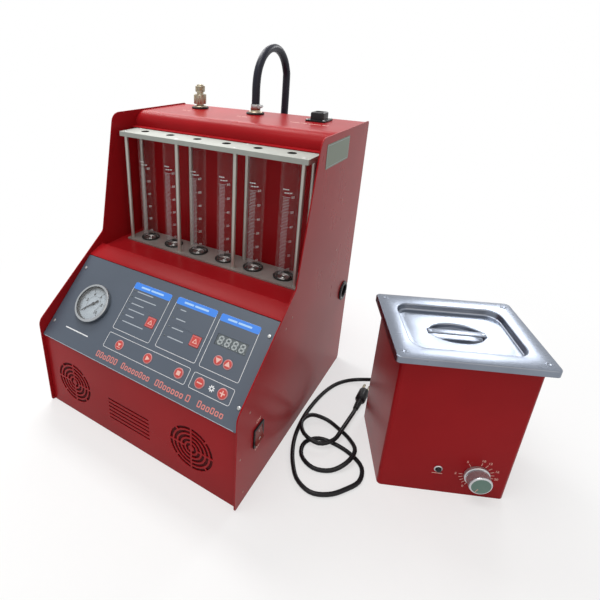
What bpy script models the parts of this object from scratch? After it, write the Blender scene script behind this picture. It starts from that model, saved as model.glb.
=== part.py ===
"""Fuel injector cleaner and tester: a bench cabinet with six measuring tubes, and its ultrasonic bath.

Metres, +Z up. The cabinet's front faces -Y and the middle of its footprint is at the origin.
A "depth" is measured back from the front edges of the side plates, a "height" up from the bench.
"""

import math

import bmesh
import bpy
from mathutils import Matrix, Vector

# Clearances and sheet stock
GAP = 0.0003
SHEET = 0.0015
SIDE_SHEET = 0.0020
OVERRUN = 0.004
WELD = 0.000001
MERGE = 0.00001

# Numbers of straight steps in round shapes
ARC_STEPS = 5
TURN_STEPS = 32
SMALL_STEPS = 20
TINY_STEPS = 12
TUBE_ROUNDNESS = 3
EDGE_SEGMENTS = 2
ROUTE_FINE_STEPS = 16
SOFT_ANGLE = math.radians(35)

# Side plates
CASE_WIDTH = 0.400
CASE_DEPTH = 0.417
CASE_HEIGHT = 0.498
NOSE_HEIGHT = 0.1716
SHOULDER_DEPTH = 0.1575
SHOULDER_HEIGHT = 0.287
CROWN_DEPTH = 0.205
NOSE_RADIUS = 0.018
SHOULDER_RADIUS = 0.014
CROWN_RADIUS = 0.018
HEEL_RADIUS = 0.005

# Sloping control plate and the folded front behind it
FRONT_RECESS = 0.0064
PANEL_FOOT_DEPTH = 0.0022
PANEL_FOOT_HEIGHT = 0.1450
PANEL_LENGTH = 0.1587
PANEL_TILT = math.radians(42.1)
PANEL_SHEET = 0.0020
PANEL_SIDE_GAP = 0.0012
PANEL_CORNER = 0.003
PANEL_REST = 0.013
PANEL_END = 0.0018

# Grilles in the front: two round ones of broken rings, whose straight edges keep within
# GRILLE_FLAT of their arcs, and level slots between them
GRILLE_SPREAD = 0.252
GRILLE_SHIFT = -0.007
GRILLE_HEIGHT = 0.067
GRILLE_RADIUS = 0.039
GRILLE_SLIT = 0.0045
GRILLE_ARCS = (2, 4, 4, 4, 8)
GRILLE_BRIDGE = 0.0030
GRILLE_FLAT = 0.00036
SLOT_COUNT = 6
SLOT_LENGTH = 0.088
SLOT_WIDTH = 0.0028
SLOT_PITCH = 0.0078
SLOT_HEIGHT = 0.055
SLOT_CORNER_SHARE = 1 / 3

# Ledge, shelf and back wall of the tube bay
LIP_GAP = 0.0010
LEDGE_FRONT_DEPTH = 0.1274
LEDGE_FRONT_HEIGHT = 0.2554
LEDGE_BACK_HEIGHT = 0.2636
LEDGE_BACK_RUN = 0.0055
SHELF_FRONT_DEPTH = SHOULDER_DEPTH
LEDGE_BACK_DEPTH = SHELF_FRONT_DEPTH - LEDGE_BACK_RUN
SHELF_DROP = 0.0059
SHELF_HEIGHT = LEDGE_BACK_HEIGHT - SHELF_DROP
DRAIN_RADIUS = 0.005

# Rails, rods and measuring tubes
TUBE_COUNT = 6
TUBE_PITCH = 0.058
TUBE_DEPTH = 0.2292
BAY_BEHIND = 0.0328
BAY_DEPTH = TUBE_DEPTH + BAY_BEHIND
TUBE_RADIUS = 0.0145
TUBE_WALL = 0.0020
RAIL_END = 0.0385
RAIL_LENGTH = (TUBE_COUNT - 1) * TUBE_PITCH + 2 * RAIL_END
RAIL_WIDTH = 0.0536
COVER_INSET = 0.0025
TOP_HEIGHT = CASE_HEIGHT - COVER_INSET
RAIL_DROP = 0.0281
RAIL_TOP = TOP_HEIGHT - RAIL_DROP
RAIL_THICKNESS = 0.008
RAIL_HOLE_RADIUS = 0.0075
RAIL_CORNER = 0.002
SEAT_INSET = 0.0015
SEAT_LENGTH = RAIL_LENGTH - 2 * SEAT_INSET
SEAT_THICKNESS = 0.003
ROD_COLUMNS = 4
ROD_SPREAD = 0.038
ROD_RADIUS = 0.0035

# Top cover, rear panel and base
COVER_LIP_REACH = 0.0119
COVER_FACE_DEPTH = BAY_DEPTH - SHEET
COVER_LIP_DEPTH = COVER_FACE_DEPTH - COVER_LIP_REACH
COVER_ROLL = 0.0255
COVER_BACK_DEPTH = CASE_DEPTH - SHEET
COVER_FLANGE = 0.016
ROLL_STEPS = 8
REAR_SLOTS = 5
REAR_SLOT_LENGTH = 0.120
REAR_SLOT_WIDTH = 0.004
REAR_SLOT_PITCH = 0.010
REAR_SLOT_HEIGHT = 0.330

# Fittings on the top cover
FITTING_INSET = 0.0405
FITTING_DEPTH = COVER_BACK_DEPTH - FITTING_INSET
FITTING_SPREAD = 0.127
FITTING_SHIFT = -0.002
SHANK_RADIUS = 0.0065
SHANK_LENGTH = 0.014
FITTING_FLANGE_RADIUS = 0.0168
FITTING_FLANGE = 0.003
SEAT_RADIUS = 0.0130
FITTING_SEAT = 0.0022
NECK_RADIUS = 0.0073
NECK_LENGTH = 0.0035
HEX_RADIUS = 0.0136
HEX_LENGTH = 0.0185
COUPLER_STEM_RADIUS = 0.0066
COUPLER_STEM_LENGTH = 0.018
COUPLER_BORE = 0.0040
COUPLER_BORE_DEPTH = 0.036
SLEEVE_RADIUS = 0.0095
SLEEVE_LENGTH = 0.0115
SLEEVE_TRAVEL = 0.004
BARB_RADIUS = 0.0055
BARB_LENGTH = 0.0042
BARB_BORE = 0.0030
BARB_BORE_DEPTH = 0.012

# Return hose, its clamp and the coupler on its far end
HOSE_RADIUS = 0.0075
HOSE_RISE = 0.043
HOSE_BEND = 0.062
HOSE_DROP = 0.290
HOSE_BEND_STEPS = 8
HOSE_SPACING = 0.030
CLAMP_START = 0.0012
CLAMP_WIDTH = 0.007
CLAMP_BAND = 0.0008
CLAMP_BOX_LENGTH = 0.007
CLAMP_BOX_DEPTH = 0.0050
CLAMP_BOX_HEIGHT = 0.0056
END_RADIUS = 0.0105
END_HEX_RADIUS = 0.0120
END_HEX_LENGTH = 0.012
END_LENGTH = 0.026
END_BORE = 0.0060
END_BORE_DEPTH = 0.020

# Pulse signal socket on the top cover
SIGNAL_FLANGE_WIDTH = 0.036
SIGNAL_FLANGE_DEPTH = 0.040
SIGNAL_FLANGE = 0.0025
SIGNAL_WIDTH = 0.024
SIGNAL_DEPTH = 0.027
SIGNAL_HEIGHT = 0.0125
SIGNAL_BODY_WIDTH = 0.020
SIGNAL_BODY_DEPTH = 0.023
SIGNAL_BODY_DROP = 0.012
SIGNAL_BORE = 0.0070
SIGNAL_BORE_DEPTH = 0.009
SIGNAL_CORNER = 0.003

# Pressure gauge, placed across and up the control plate
GAUGE_ACROSS = -0.128
GAUGE_UP = 0.080
GAUGE_CASE_RADIUS = 0.0315
GAUGE_CASE_DEPTH = 0.024
GAUGE_BEZEL_RADIUS = 0.0340
GAUGE_BEZEL_HEIGHT = 0.0085
GAUGE_BEZEL_BEVEL = 0.0018
GAUGE_RIM_RADIUS = 0.0296
GAUGE_RIM = 0.0010
GAUGE_BORE_RADIUS = 0.0309
GAUGE_STEM_RADIUS = 0.0070
GAUGE_STEM_LENGTH = 0.014
GAUGE_ROOM_RADIUS = 0.0280
GAUGE_ROOM_DEPTH = 0.020
GAUGE_POST_RADIUS = 0.0040
GAUGE_LENS = 0.0015
DIAL_THICKNESS = 0.0008
ARBOR_RADIUS = 0.0010
ARBOR_HOLE = 0.0013
ARBOR_DEPTH = 0.009
HUB_RADIUS = 0.0030
HUB_HEIGHT = 0.0021
NEEDLE_LENGTH = 0.0240
NEEDLE_TAIL = 0.0095
NEEDLE_WIDTH = 0.0012
NEEDLE_TAIL_WIDTH = 0.0034
NEEDLE_THICKNESS = 0.0008
NEEDLE_LIFT = 0.0012
NEEDLE_ZERO = math.radians(225)

# Keys and display, placed across and up the control plate
KEY_TRAVEL = 0.0005
KEY_PROUD = 0.0008
KEY_FLANGE = 0.0010
KEY_FLANGE_LIP = 0.0009
KEY_RADIUS = 0.0080
ARROW_RADIUS = 0.0073
SQUARE_KEY = 0.0168
ROW_UP = 0.0374
SQUARE_UP = 0.0880
ARROW_UP = 0.0760
ROUND_KEYS = {
    "key_drain": (-0.0390, ROW_UP),
    "key_start": (0.0204, ROW_UP),
    "key_stop": (0.0806, ROW_UP),
    "key_pressure_down": (0.1183, ROW_UP),
    "key_pressure_up": (0.1573, ROW_UP),
}
ARROW_KEYS = {
    "key_value_down": (0.1303, ARROW_UP),
    "key_value_up": (0.1471, ARROW_UP),
}
SQUARE_KEYS = {
    "key_program": (-0.0050, SQUARE_UP),
    "key_parameter": (0.0833, SQUARE_UP),
}
DISPLAY_ACROSS = 0.1392
DISPLAY_UP = 0.1040
DISPLAY_WIDTH = 0.0520
DISPLAY_HEIGHT = 0.0160
DISPLAY_SUNK = 0.0004

# Board behind the control plate
BOARD_THICKNESS = 0.0016
BOARD_LEFT = -0.070
BOARD_RIGHT = 0.176
BOARD_BOTTOM = 0.020
BOARD_TOP = 0.138
BOARD_DEPTH = 0.0080
SWITCH_RADIUS = 0.0030
STANDOFF_RADIUS = 0.0030
STANDOFF_INSET = 0.005

# Rocker switch and round socket in the right side plate
SWITCH_DEPTH = 0.0595
SWITCH_HEIGHT = 0.0965
SWITCH_FLANGE_WIDTH = 0.028
SWITCH_FLANGE_HEIGHT = 0.034
SWITCH_FLANGE = 0.0020
SWITCH_BODY_WIDTH = 0.0254
SWITCH_BODY_HEIGHT = 0.0310
SWITCH_BODY_DEPTH = 0.018
SWITCH_WALL = 0.0016
SWITCH_WELL_DEPTH = 0.0095
ROCKER_SWING = math.radians(8)
ROCKER_HALF = 0.0130
ROCKER_FACE = 0.0050
ROCKER_DIP = 0.0018
ROCKER_SKIRT = 0.0030
ROCKER_SIDE_GAP = 0.0003
SOCKET_INSET = 0.029
SOCKET_DEPTH = CASE_DEPTH - SOCKET_INSET
SOCKET_HEIGHT = 0.1780
SOCKET_FLANGE_RADIUS = 0.0190
SOCKET_FLANGE = 0.0030
SOCKET_RADIUS = 0.0155
SOCKET_LENGTH = 0.020
SOCKET_BORE = 0.0125
SOCKET_BORE_DEPTH = 0.014

# Tank, pump and power supply on the base
TANK_LEFT = -0.185
TANK_RIGHT = 0.095
TANK_BEHIND = 0.0425
TANK_INSET = 0.022
TANK_FRONT = SHOULDER_DEPTH + TANK_BEHIND
TANK_BACK = CASE_DEPTH - TANK_INSET
TANK_HEIGHT = 0.130
TANK_CORNER = 0.012
PUMP_RADIUS = 0.021
PUMP_LENGTH = 0.110
PUMP_PORT_RADIUS = 0.005
PUMP_PORT_LENGTH = 0.015
PUMP_ACROSS = -0.090
PUMP_DEPTH = 0.120
SUPPLY_WIDTH = 0.098
SUPPLY_LENGTH = 0.159
SUPPLY_HEIGHT = 0.038
SUPPLY_ACROSS = 0.120
SUPPLY_DEPTH = 0.110

# Ultrasonic bath, turned about its own upright axis; its frame is at the foot of its front face
BATH_ACROSS = 0.440
BATH_FRONT = -0.012
BATH_TURN = math.radians(25)
BATH_WIDTH = 0.182
BATH_DEPTH = 0.142
BATH_HEIGHT = 0.242
BATH_SHEET = 0.0012
BATH_CORNER = 0.006
BATH_RIM_OVERHANG = 0.005
BATH_TANK_WIDTH = 0.160
BATH_TANK_DEPTH = 0.120
BATH_TANK_FLOOR = 0.092
BATH_TANK_CORNER = 0.018
STEEL = 0.0012
LID_WIDTH = 0.204
LID_DEPTH = 0.164
LID_SKIRT = 0.0100
LID_SHEET = 0.0010
LID_CORNER = 0.007
DISH_WIDTH = 0.152
DISH_DEPTH = 0.112
DISH_DROP = 0.010
DISH_CORNER = 0.020
PIT_WIDTH = 0.076
PIT_DEPTH = 0.048
PIT_DROP = 0.007
PIT_STEPS = 28
BAR_WIDTH = 0.011
BAR_THICKNESS = 0.0022
TRANSDUCER_RADIUS = 0.021
TRANSDUCER_HEIGHT = 0.034
KNOB_ACROSS = 0.044
KNOB_HEIGHT = 0.042
KNOB_SKIRT_RADIUS = 0.0178
KNOB_RADIUS = 0.0162
KNOB_SKIRT = 0.0040
KNOB_LENGTH = 0.019
KNOB_BEVEL = 0.0012
KNOB_SHAFT_RADIUS = 0.0030
KNOB_SHAFT_LENGTH = 0.010
GLAND_ACROSS = -0.055
GLAND_HEIGHT = 0.030
GLAND_NECK_RADIUS = 0.0050
GLAND_RADIUS = 0.0080
GLAND_COLLAR = 0.003
GLAND_LENGTH = 0.022
GLAND_TIP_RADIUS = 0.0052

# Lead of the bath: its radius, its plug, and its route from the gland to the plug
CORD_RADIUS = 0.0035
CORD_SPACING = 0.0175
CORD_STRAIGHT = 0.014
PLUG_RELIEF_RADIUS = 0.0058
PLUG_RELIEF_LENGTH = 0.026
PLUG_RADIUS = 0.0092
PLUG_LENGTH = 0.030
PLUG_PIN_RADIUS = 0.0024
PLUG_PIN_LENGTH = 0.018
PLUG_PIN_SPREAD = 0.0095
PLUG_ACROSS = 0.283
PLUG_BACK = 0.070
CORD_FLOOR = CORD_RADIUS + 2 * GAP
CORD_OVER = 3 * CORD_RADIUS + 11 * GAP
CORD_ROUTE = (
    (0.2975, 0.15225, 0.0225),
    (0.2715, 0.15825, 0.0090),
    (0.2470, 0.14575, CORD_FLOOR),
    (0.23075, 0.1235, CORD_FLOOR),
    (0.22075, 0.0975, CORD_FLOOR),
    (0.2150, 0.07025, CORD_FLOOR),
    (0.21175, 0.0425, CORD_FLOOR),
    (0.2105, 0.0145, CORD_FLOOR),
    (0.2120, -0.01325, CORD_FLOOR),
    (0.2160, -0.04075, CORD_FLOOR),
    (0.2240, -0.0675, CORD_FLOOR),
    (0.23625, -0.0925, CORD_FLOOR),
    (0.2535, -0.11425, CORD_FLOOR),
    (0.2790, -0.1230, CORD_FLOOR),
    (0.30375, -0.1110, CORD_FLOOR),
    (0.3215, -0.0895, CORD_FLOOR),
    (0.33425, -0.0650, CORD_FLOOR),
    (0.32925, -0.0385, CORD_FLOOR),
    (0.3060, -0.0240, CORD_FLOOR),
    (0.2785, -0.0190, CORD_FLOOR),
    (0.25125, -0.02275, CORD_FLOOR),
    (0.23475, -0.04425, CORD_FLOOR),
    (0.2410, -0.07025, CORD_FLOOR),
    (0.2655, -0.08175, CORD_FLOOR),
    (0.29075, -0.0710, CORD_FLOOR),
    (0.30825, -0.04975, 0.0110),
    (0.3125, -0.02275, CORD_OVER),
    (0.29675, -0.00025, 0.0085),
    (0.27375, 0.01525, CORD_FLOOR),
    (0.24725, 0.02325, 0.0050),
    (0.22275, 0.01225, 0.0115),
    (0.21525, -0.01375, CORD_OVER),
    (0.23025, -0.03625, CORD_OVER),
    (0.2570, -0.03925, 0.0115),
    (0.2760, -0.0205, CORD_OVER),
    (0.27975, 0.0070, CORD_OVER),
    (0.28125, 0.03475, 0.0110),
)

# Colours read from the photograph: red, green, blue, then roughness and metallic
FINISHES = {
    "red_paint": ((0.42, 0.012, 0.016), 0.32, 0.0),
    "slate_plate": ((0.095, 0.125, 0.165), 0.45, 0.0),
    "aluminium": ((0.62, 0.66, 0.62), 0.38, 1.0),
    "grey_steel": ((0.24, 0.23, 0.23), 0.42, 1.0),
    "bright_steel": ((0.70, 0.71, 0.74), 0.22, 1.0),
    "glass": ((0.86, 0.93, 0.92), 0.05, 0.0),
    "black_rubber": ((0.018, 0.018, 0.020), 0.55, 0.0),
    "black_plastic": ((0.022, 0.022, 0.024), 0.38, 0.0),
    "brass": ((0.62, 0.50, 0.30), 0.30, 1.0),
    "white_dial": ((0.78, 0.80, 0.76), 0.60, 0.0),
    "key_red": ((0.72, 0.11, 0.08), 0.45, 0.0),
    "display_smoke": ((0.16, 0.19, 0.18), 0.20, 0.0),
    "board_green": ((0.03, 0.20, 0.09), 0.55, 0.0),
}

# Places worked out from the sizes
FRONT = -CASE_DEPTH / 2
INNER_HALF = CASE_WIDTH / 2 - SIDE_SHEET
SPAN = 2 * (INNER_HALF - GAP)
BASE_TOP = SHEET
FLOOR_SEAT = BASE_TOP + GAP
RAIL_BOTTOM = RAIL_TOP - RAIL_THICKNESS
SEAT_BOTTOM = SHELF_HEIGHT + GAP
SEAT_TOP = SEAT_BOTTOM + SEAT_THICKNESS
COVER_LIP_TOP = RAIL_TOP + GAP + SHEET
REAR_FACE_DEPTH = COVER_BACK_DEPTH - SHEET - GAP
FITTING_BASE = TOP_HEIGHT + GAP
FITTING_TOP = FITTING_BASE + FITTING_FLANGE + FITTING_SEAT
PLATE_BACK = -PANEL_SHEET
FRONT_SLOPE = PANEL_SHEET + GAP
KEY_BOTTOM = PLATE_BACK - GAP - KEY_FLANGE - KEY_TRAVEL
BATH_RIM_BOTTOM = BATH_HEIGHT + GAP
BATH_RIM_TOP = BATH_RIM_BOTTOM + STEEL
LID_BOTTOM = BATH_RIM_TOP + GAP
LID_TOP = LID_BOTTOM + LID_SHEET
DISH_FLOOR = LID_TOP - DISH_DROP
PIT_FLOOR = DISH_FLOOR - PIT_DROP
PLUG_HEIGHT = PLUG_RADIUS + GAP

X_AXIS = Vector((1, 0, 0))
Y_AXIS = Vector((0, 1, 0))
Z_AXIS = Vector((0, 0, 1))


def frame(origin, x_axis, y_axis):
    """Matrix of a frame at origin, whose third axis is square to the two given."""
    matrix = Matrix((x_axis, y_axis, x_axis.cross(y_axis))).transposed().to_4x4()
    matrix.translation = Vector(origin)
    return matrix


def upright(x, depth, height):
    """Frame with the world's directions at a place in the cabinet."""
    return frame((x, FRONT + depth, height), X_AXIS, Y_AXIS)


def section(x):
    """Frame of a lengthwise section: first axis back from the front edge, second axis up."""
    return frame((x, FRONT, 0), Y_AXIS, Z_AXIS)


def outward_right(depth, height, lift=0.0):
    """Frame on the right side plate: first axis back, second up, third out of the plate."""
    return frame((CASE_WIDTH / 2 + lift, FRONT + depth, height), Y_AXIS, Z_AXIS)


SLOPE_UP = Vector((0, math.cos(PANEL_TILT), math.sin(PANEL_TILT)))
PANEL = frame((0, FRONT + PANEL_FOOT_DEPTH, PANEL_FOOT_HEIGHT), X_AXIS, SLOPE_UP)
BATH_RIGHT = Vector((math.cos(BATH_TURN), math.sin(BATH_TURN), 0))
BATH_BACK = Vector((-math.sin(BATH_TURN), math.cos(BATH_TURN), 0))
BATH = frame((BATH_ACROSS, BATH_FRONT, 0), BATH_RIGHT, BATH_BACK)


def on_panel(across, up, lift=0.0):
    """Frame on the control plate's face: third axis out of the face."""
    return PANEL @ Matrix.Translation((across, up, lift))


def on_bath(across, back, height):
    """Frame in the bath with its own right, back and up."""
    return BATH @ Matrix.Translation((across, back, height))


def new_collection(name):
    """Collection under the scene, made afresh."""
    group = bpy.data.collections.new(name)
    bpy.context.scene.collection.children.link(group)
    return group


def finish(name):
    """The named material, made once."""
    known = bpy.data.materials.get(name)
    if known:
        return known
    colour, roughness, metallic = FINISHES[name]
    made = bpy.data.materials.new(name)
    made.use_nodes = True
    shader = made.node_tree.nodes["Principled BSDF"]
    shader.inputs["Base Color"].default_value = (*colour, 1)
    shader.inputs["Roughness"].default_value = roughness
    shader.inputs["Metallic"].default_value = metallic
    made.diffuse_color = (*colour, 1)
    return made


def place(name, mesh, look, matrix):
    """Object of a mesh among the parts, or among the cutters where look is None."""
    made = bpy.data.objects.new(name, mesh)
    made.matrix_world = matrix
    if look is None:
        cutters.objects.link(made)
        made.hide_render = True
        made.display_type = "WIRE"
    else:
        parts.objects.link(made)
        mesh.materials.append(finish(look))
    return made


def shape(target, tool, operation):
    """Boolean of the target with a tool that lies among the cutters."""
    step = target.modifiers.new(tool.name, "BOOLEAN")
    step.operation = operation
    step.solver = "EXACT"
    step.object = tool
    return target


def cut(target, *tools):
    """Take each tool out of the target."""
    for tool in tools:
        shape(target, tool, "DIFFERENCE")
    return target


def join(target, *tools):
    """Add each tool to the target."""
    for tool in tools:
        shape(target, tool, "UNION")
    return target


def mesh_from_curve(curve, name):
    """Welded mesh of a curve."""
    holder = bpy.data.objects.new(name, curve)
    bpy.context.scene.collection.objects.link(holder)
    seen = holder.evaluated_get(bpy.context.evaluated_depsgraph_get())
    mesh = bpy.data.meshes.new_from_object(seen)
    bpy.data.objects.remove(holder)
    bpy.data.curves.remove(curve)
    work = bmesh.new()
    work.from_mesh(mesh)
    bmesh.ops.remove_doubles(work, verts=work.verts, dist=WELD)
    bmesh.ops.recalc_face_normals(work, faces=work.faces)
    work.to_mesh(mesh)
    work.free()
    mesh.name = name
    mesh.shade_smooth()
    mesh.set_sharp_from_angle(angle=SOFT_ANGLE)
    return mesh


def flat(name, outlines, thickness, look, matrix):
    """Solid of flat outlines, the later ones being holes or separate islands, about its mid plane."""
    curve = bpy.data.curves.new(name, "CURVE")
    curve.dimensions = "2D"
    curve.fill_mode = "BOTH"
    curve.extrude = thickness / 2
    for outline in outlines:
        spline = curve.splines.new("POLY")
        spline.points.add(len(outline) - 1)
        for point, (x, y) in zip(spline.points, outline):
            point.co = (x, y, 0, 1)
        spline.use_cyclic_u = True
    return place(name, mesh_from_curve(curve, name), look, matrix)


def slab(name, outlines, bottom, top, look, matrix):
    """Flat solid between two levels of its frame."""
    raised = matrix @ Matrix.Translation((0, 0, (bottom + top) / 2))
    return flat(name, outlines, top - bottom, look, raised)


def turned(name, profile, look, matrix, steps=TURN_STEPS):
    """Solid turned about the third axis of its frame; the profile runs down its outer side."""
    count = len(profile)
    edges = [(i, i + 1) for i in range(count - 1)]
    if profile[0][0] > 0:
        edges.append((count - 1, 0))
    mesh = bpy.data.meshes.new(name)
    mesh.from_pydata([(radius, 0, level) for radius, level in profile], edges, [])
    made = place(name, mesh, look, matrix)
    screw = made.modifiers.new("turn", "SCREW")
    screw.axis = "Z"
    screw.angle = math.tau
    screw.steps = steps
    screw.render_steps = steps
    screw.use_merge_vertices = True
    screw.merge_threshold = MERGE
    screw.use_normal_calculate = False
    return made


def rod(name, radius, bottom, top, look, matrix, sides=TURN_STEPS):
    """Cylinder along the third axis of its frame."""
    mesh = bpy.data.meshes.new(name)
    work = bmesh.new()
    bmesh.ops.create_cone(
        work, cap_ends=True, segments=sides, radius1=radius, radius2=radius, depth=top - bottom
    )
    bmesh.ops.translate(work, verts=work.verts, vec=(0, 0, (bottom + top) / 2))
    work.to_mesh(mesh)
    work.free()
    mesh.shade_smooth()
    mesh.set_sharp_from_angle(angle=SOFT_ANGLE)
    return place(name, mesh, look, matrix)


def box(name, low, high, look, matrix, bevel=0.0):
    """Box between two corners of its frame, with its edges rounded if bevel is given."""
    mesh = bpy.data.meshes.new(name)
    work = bmesh.new()
    bmesh.ops.create_cube(work, size=1)
    size = Vector(high) - Vector(low)
    bmesh.ops.scale(work, verts=work.verts, vec=size)
    bmesh.ops.translate(work, verts=work.verts, vec=(Vector(low) + Vector(high)) / 2)
    work.to_mesh(mesh)
    work.free()
    made = place(name, mesh, look, matrix)
    if bevel:
        step = made.modifiers.new("soft edges", "BEVEL")
        step.width = bevel
        step.segments = EDGE_SEGMENTS
    return made


def tube(name, points, radius, look):
    """Round solid along points, with flat ends."""
    curve = bpy.data.curves.new(name, "CURVE")
    curve.dimensions = "3D"
    curve.bevel_depth = radius
    curve.bevel_resolution = TUBE_ROUNDNESS
    curve.use_fill_caps = True
    spline = curve.splines.new("POLY")
    spline.points.add(len(points) - 1)
    for point, spot in zip(spline.points, points):
        point.co = (*spot, 1)
    return place(name, mesh_from_curve(curve, name), look, Matrix.Identity(4))


def rounded(corners):
    """Outline of straight sides through corners (x, y, radius), each corner an arc."""
    outline = []
    count = len(corners)
    for i, (x, y, radius) in enumerate(corners):
        here = Vector((x, y))
        if not radius:
            outline.append((x, y))
            continue
        before = Vector(corners[i - 1][:2]) - here
        after = Vector(corners[(i + 1) % count][:2]) - here
        half = before.angle(after) / 2
        middle = (before.normalized() + after.normalized()).normalized()
        centre = here + middle * (radius / math.sin(half))
        start = here + before.normalized() * (radius / math.tan(half)) - centre
        end = here + after.normalized() * (radius / math.tan(half)) - centre
        sweep = start.angle_signed(end)
        for step in range(ARC_STEPS + 1):
            turn = -sweep * step / ARC_STEPS
            c, s = math.cos(turn), math.sin(turn)
            outline.append((centre.x + start.x * c - start.y * s, centre.y + start.x * s + start.y * c))
    return outline


def rectangle(width, height, radius=0.0, across=0.0, up=0.0):
    """Outline of a rectangle about a middle point."""
    left, right = across - width / 2, across + width / 2
    low, high = up - height / 2, up + height / 2
    return rounded([(left, low, radius), (right, low, radius), (right, high, radius), (left, high, radius)])


def ellipse(across_radius, up_radius, across=0.0, up=0.0, steps=TURN_STEPS):
    """Outline of an ellipse about a middle point."""
    turns = [math.tau * step / steps for step in range(steps)]
    return [(across + across_radius * math.cos(t), up + up_radius * math.sin(t)) for t in turns]


def circle(radius, across=0.0, up=0.0, steps=TURN_STEPS):
    """Outline of a circle about a middle point."""
    return ellipse(radius, radius, across, up, steps)


def folded(points, thickness):
    """Closed outline of a sheet folded along points; the sheet lies to their right."""
    path = [Vector(point) for point in points]
    inner = []
    for i, here in enumerate(path):
        ahead = (path[min(i + 1, len(path) - 1)] - path[min(i, len(path) - 2)]).normalized()
        behind = (path[max(i, 1)] - path[max(i - 1, 0)]).normalized()
        right = Vector((ahead.y, -ahead.x)) + Vector((behind.y, -behind.x))
        right.normalize()
        stretch = right.dot(Vector((ahead.y, -ahead.x)))
        inner.append(here + right * (thickness / stretch))
    return [tuple(point) for point in path] + [tuple(point) for point in reversed(inner)]


def least_gap(points, radius):
    """Least gap of a tube along points to itself, between stretches a bend's length apart."""
    reach = math.ceil(2 * math.pi * radius / (points[2] - points[1]).length) + 1
    legs = list(zip(points, points[1:]))
    found = math.inf
    for i, (a, b) in enumerate(legs):
        for c, d in legs[i + reach:]:
            for step in range(ROUTE_FINE_STEPS + 1):
                spot = a.lerp(b, step / ROUTE_FINE_STEPS)
                along = d - c
                share = max(0.0, min(1.0, (spot - c).dot(along) / along.length_squared))
                found = min(found, (spot - c - along * share).length)
    return found - 2 * radius


def smooth_route(points, spacing):
    """Evenly spaced points on a smooth curve through the given ones."""
    route = [Vector(point) for point in points]
    route = [2 * route[0] - route[1]] + route + [2 * route[-1] - route[-2]]
    fine = []
    for a, b, c, d in zip(route, route[1:], route[2:], route[3:]):
        for step in range(ROUTE_FINE_STEPS):
            t = step / ROUTE_FINE_STEPS
            fine.append(
                b + (c - a) * (t / 2)
                + (2 * a - 5 * b + 4 * c - d) * (t * t / 2)
                + (3 * b - a - 3 * c + d) * (t * t * t / 2)
            )
    fine.append(route[-2])
    lengths = [0.0]
    for a, b in zip(fine, fine[1:]):
        lengths.append(lengths[-1] + (b - a).length)
    count = max(2, round(lengths[-1] / spacing))
    spaced = []
    index = 0
    for step in range(count + 1):
        wanted = lengths[-1] * step / count
        while index < len(fine) - 2 and lengths[index + 1] < wanted:
            index += 1
        part = (wanted - lengths[index]) / (lengths[index + 1] - lengths[index])
        spaced.append(fine[index].lerp(fine[index + 1], min(1.0, part)))
    return spaced


def panel_section(up, below):
    """Depth and height of a point up the control plate's slope and below its face."""
    along, down = math.cos(PANEL_TILT), math.sin(PANEL_TILT)
    return (
        PANEL_FOOT_DEPTH + up * along + below * down,
        PANEL_FOOT_HEIGHT + up * down - below * along,
    )


def side_panels():
    """The two side plates; the right one is cut for the rocker switch and the round socket."""
    outline = rounded([
        (0, 0, HEEL_RADIUS),
        (CASE_DEPTH, 0, HEEL_RADIUS),
        (CASE_DEPTH, CASE_HEIGHT, HEEL_RADIUS),
        (CROWN_DEPTH, CASE_HEIGHT, CROWN_RADIUS),
        (SHOULDER_DEPTH, SHOULDER_HEIGHT, SHOULDER_RADIUS),
        (0, NOSE_HEIGHT, NOSE_RADIUS),
    ])
    switch_hole = rectangle(
        SWITCH_BODY_WIDTH + 2 * GAP, SWITCH_BODY_HEIGHT + 2 * GAP, 0, SWITCH_DEPTH, SWITCH_HEIGHT
    )
    socket_hole = circle(SOCKET_RADIUS + GAP, SOCKET_DEPTH, SOCKET_HEIGHT)
    middle = CASE_WIDTH / 2 - SIDE_SHEET / 2
    flat("side_panel_left", [outline], SIDE_SHEET, "red_paint", section(-middle))
    flat("side_panel_right", [outline, switch_hole, socket_hole], SIDE_SHEET, "red_paint", section(middle))


def grille_outlines():
    """Outlines of the slits in the front: broken rings about two middles, and level slots."""
    outlines = []
    ring_pitch = (GRILLE_RADIUS - GRILLE_SLIT / 2) / len(GRILLE_ARCS)
    for side in (-1, 1):
        middle = GRILLE_SHIFT + side * GRILLE_SPREAD / 2
        for ring, arcs in enumerate(GRILLE_ARCS, 1):
            radius = ring_pitch * ring
            bridge = GRILLE_BRIDGE / radius
            sweep = math.tau / arcs - bridge
            steps = max(2, round(sweep / (2 * math.acos(1 - GRILLE_FLAT / radius))))
            for arc in range(arcs):
                start = math.tau * (arc / arcs + 1 / 4) + bridge / 2
                turns = [start + sweep * step / steps for step in range(steps + 1)]
                outer = [(radius + GRILLE_SLIT / 2, turn) for turn in turns]
                inner = [(radius - GRILLE_SLIT / 2, turn) for turn in reversed(turns)]
                outlines.append([
                    (middle + r * math.cos(turn), GRILLE_HEIGHT + r * math.sin(turn))
                    for r, turn in outer + inner
                ])
    for slot in range(SLOT_COUNT):
        level = SLOT_HEIGHT + (slot - (SLOT_COUNT - 1) / 2) * SLOT_PITCH
        corner = SLOT_WIDTH * SLOT_CORNER_SHARE
        outlines.append(rectangle(SLOT_LENGTH, SLOT_WIDTH, corner, GRILLE_SHIFT, level))
    return outlines


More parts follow.
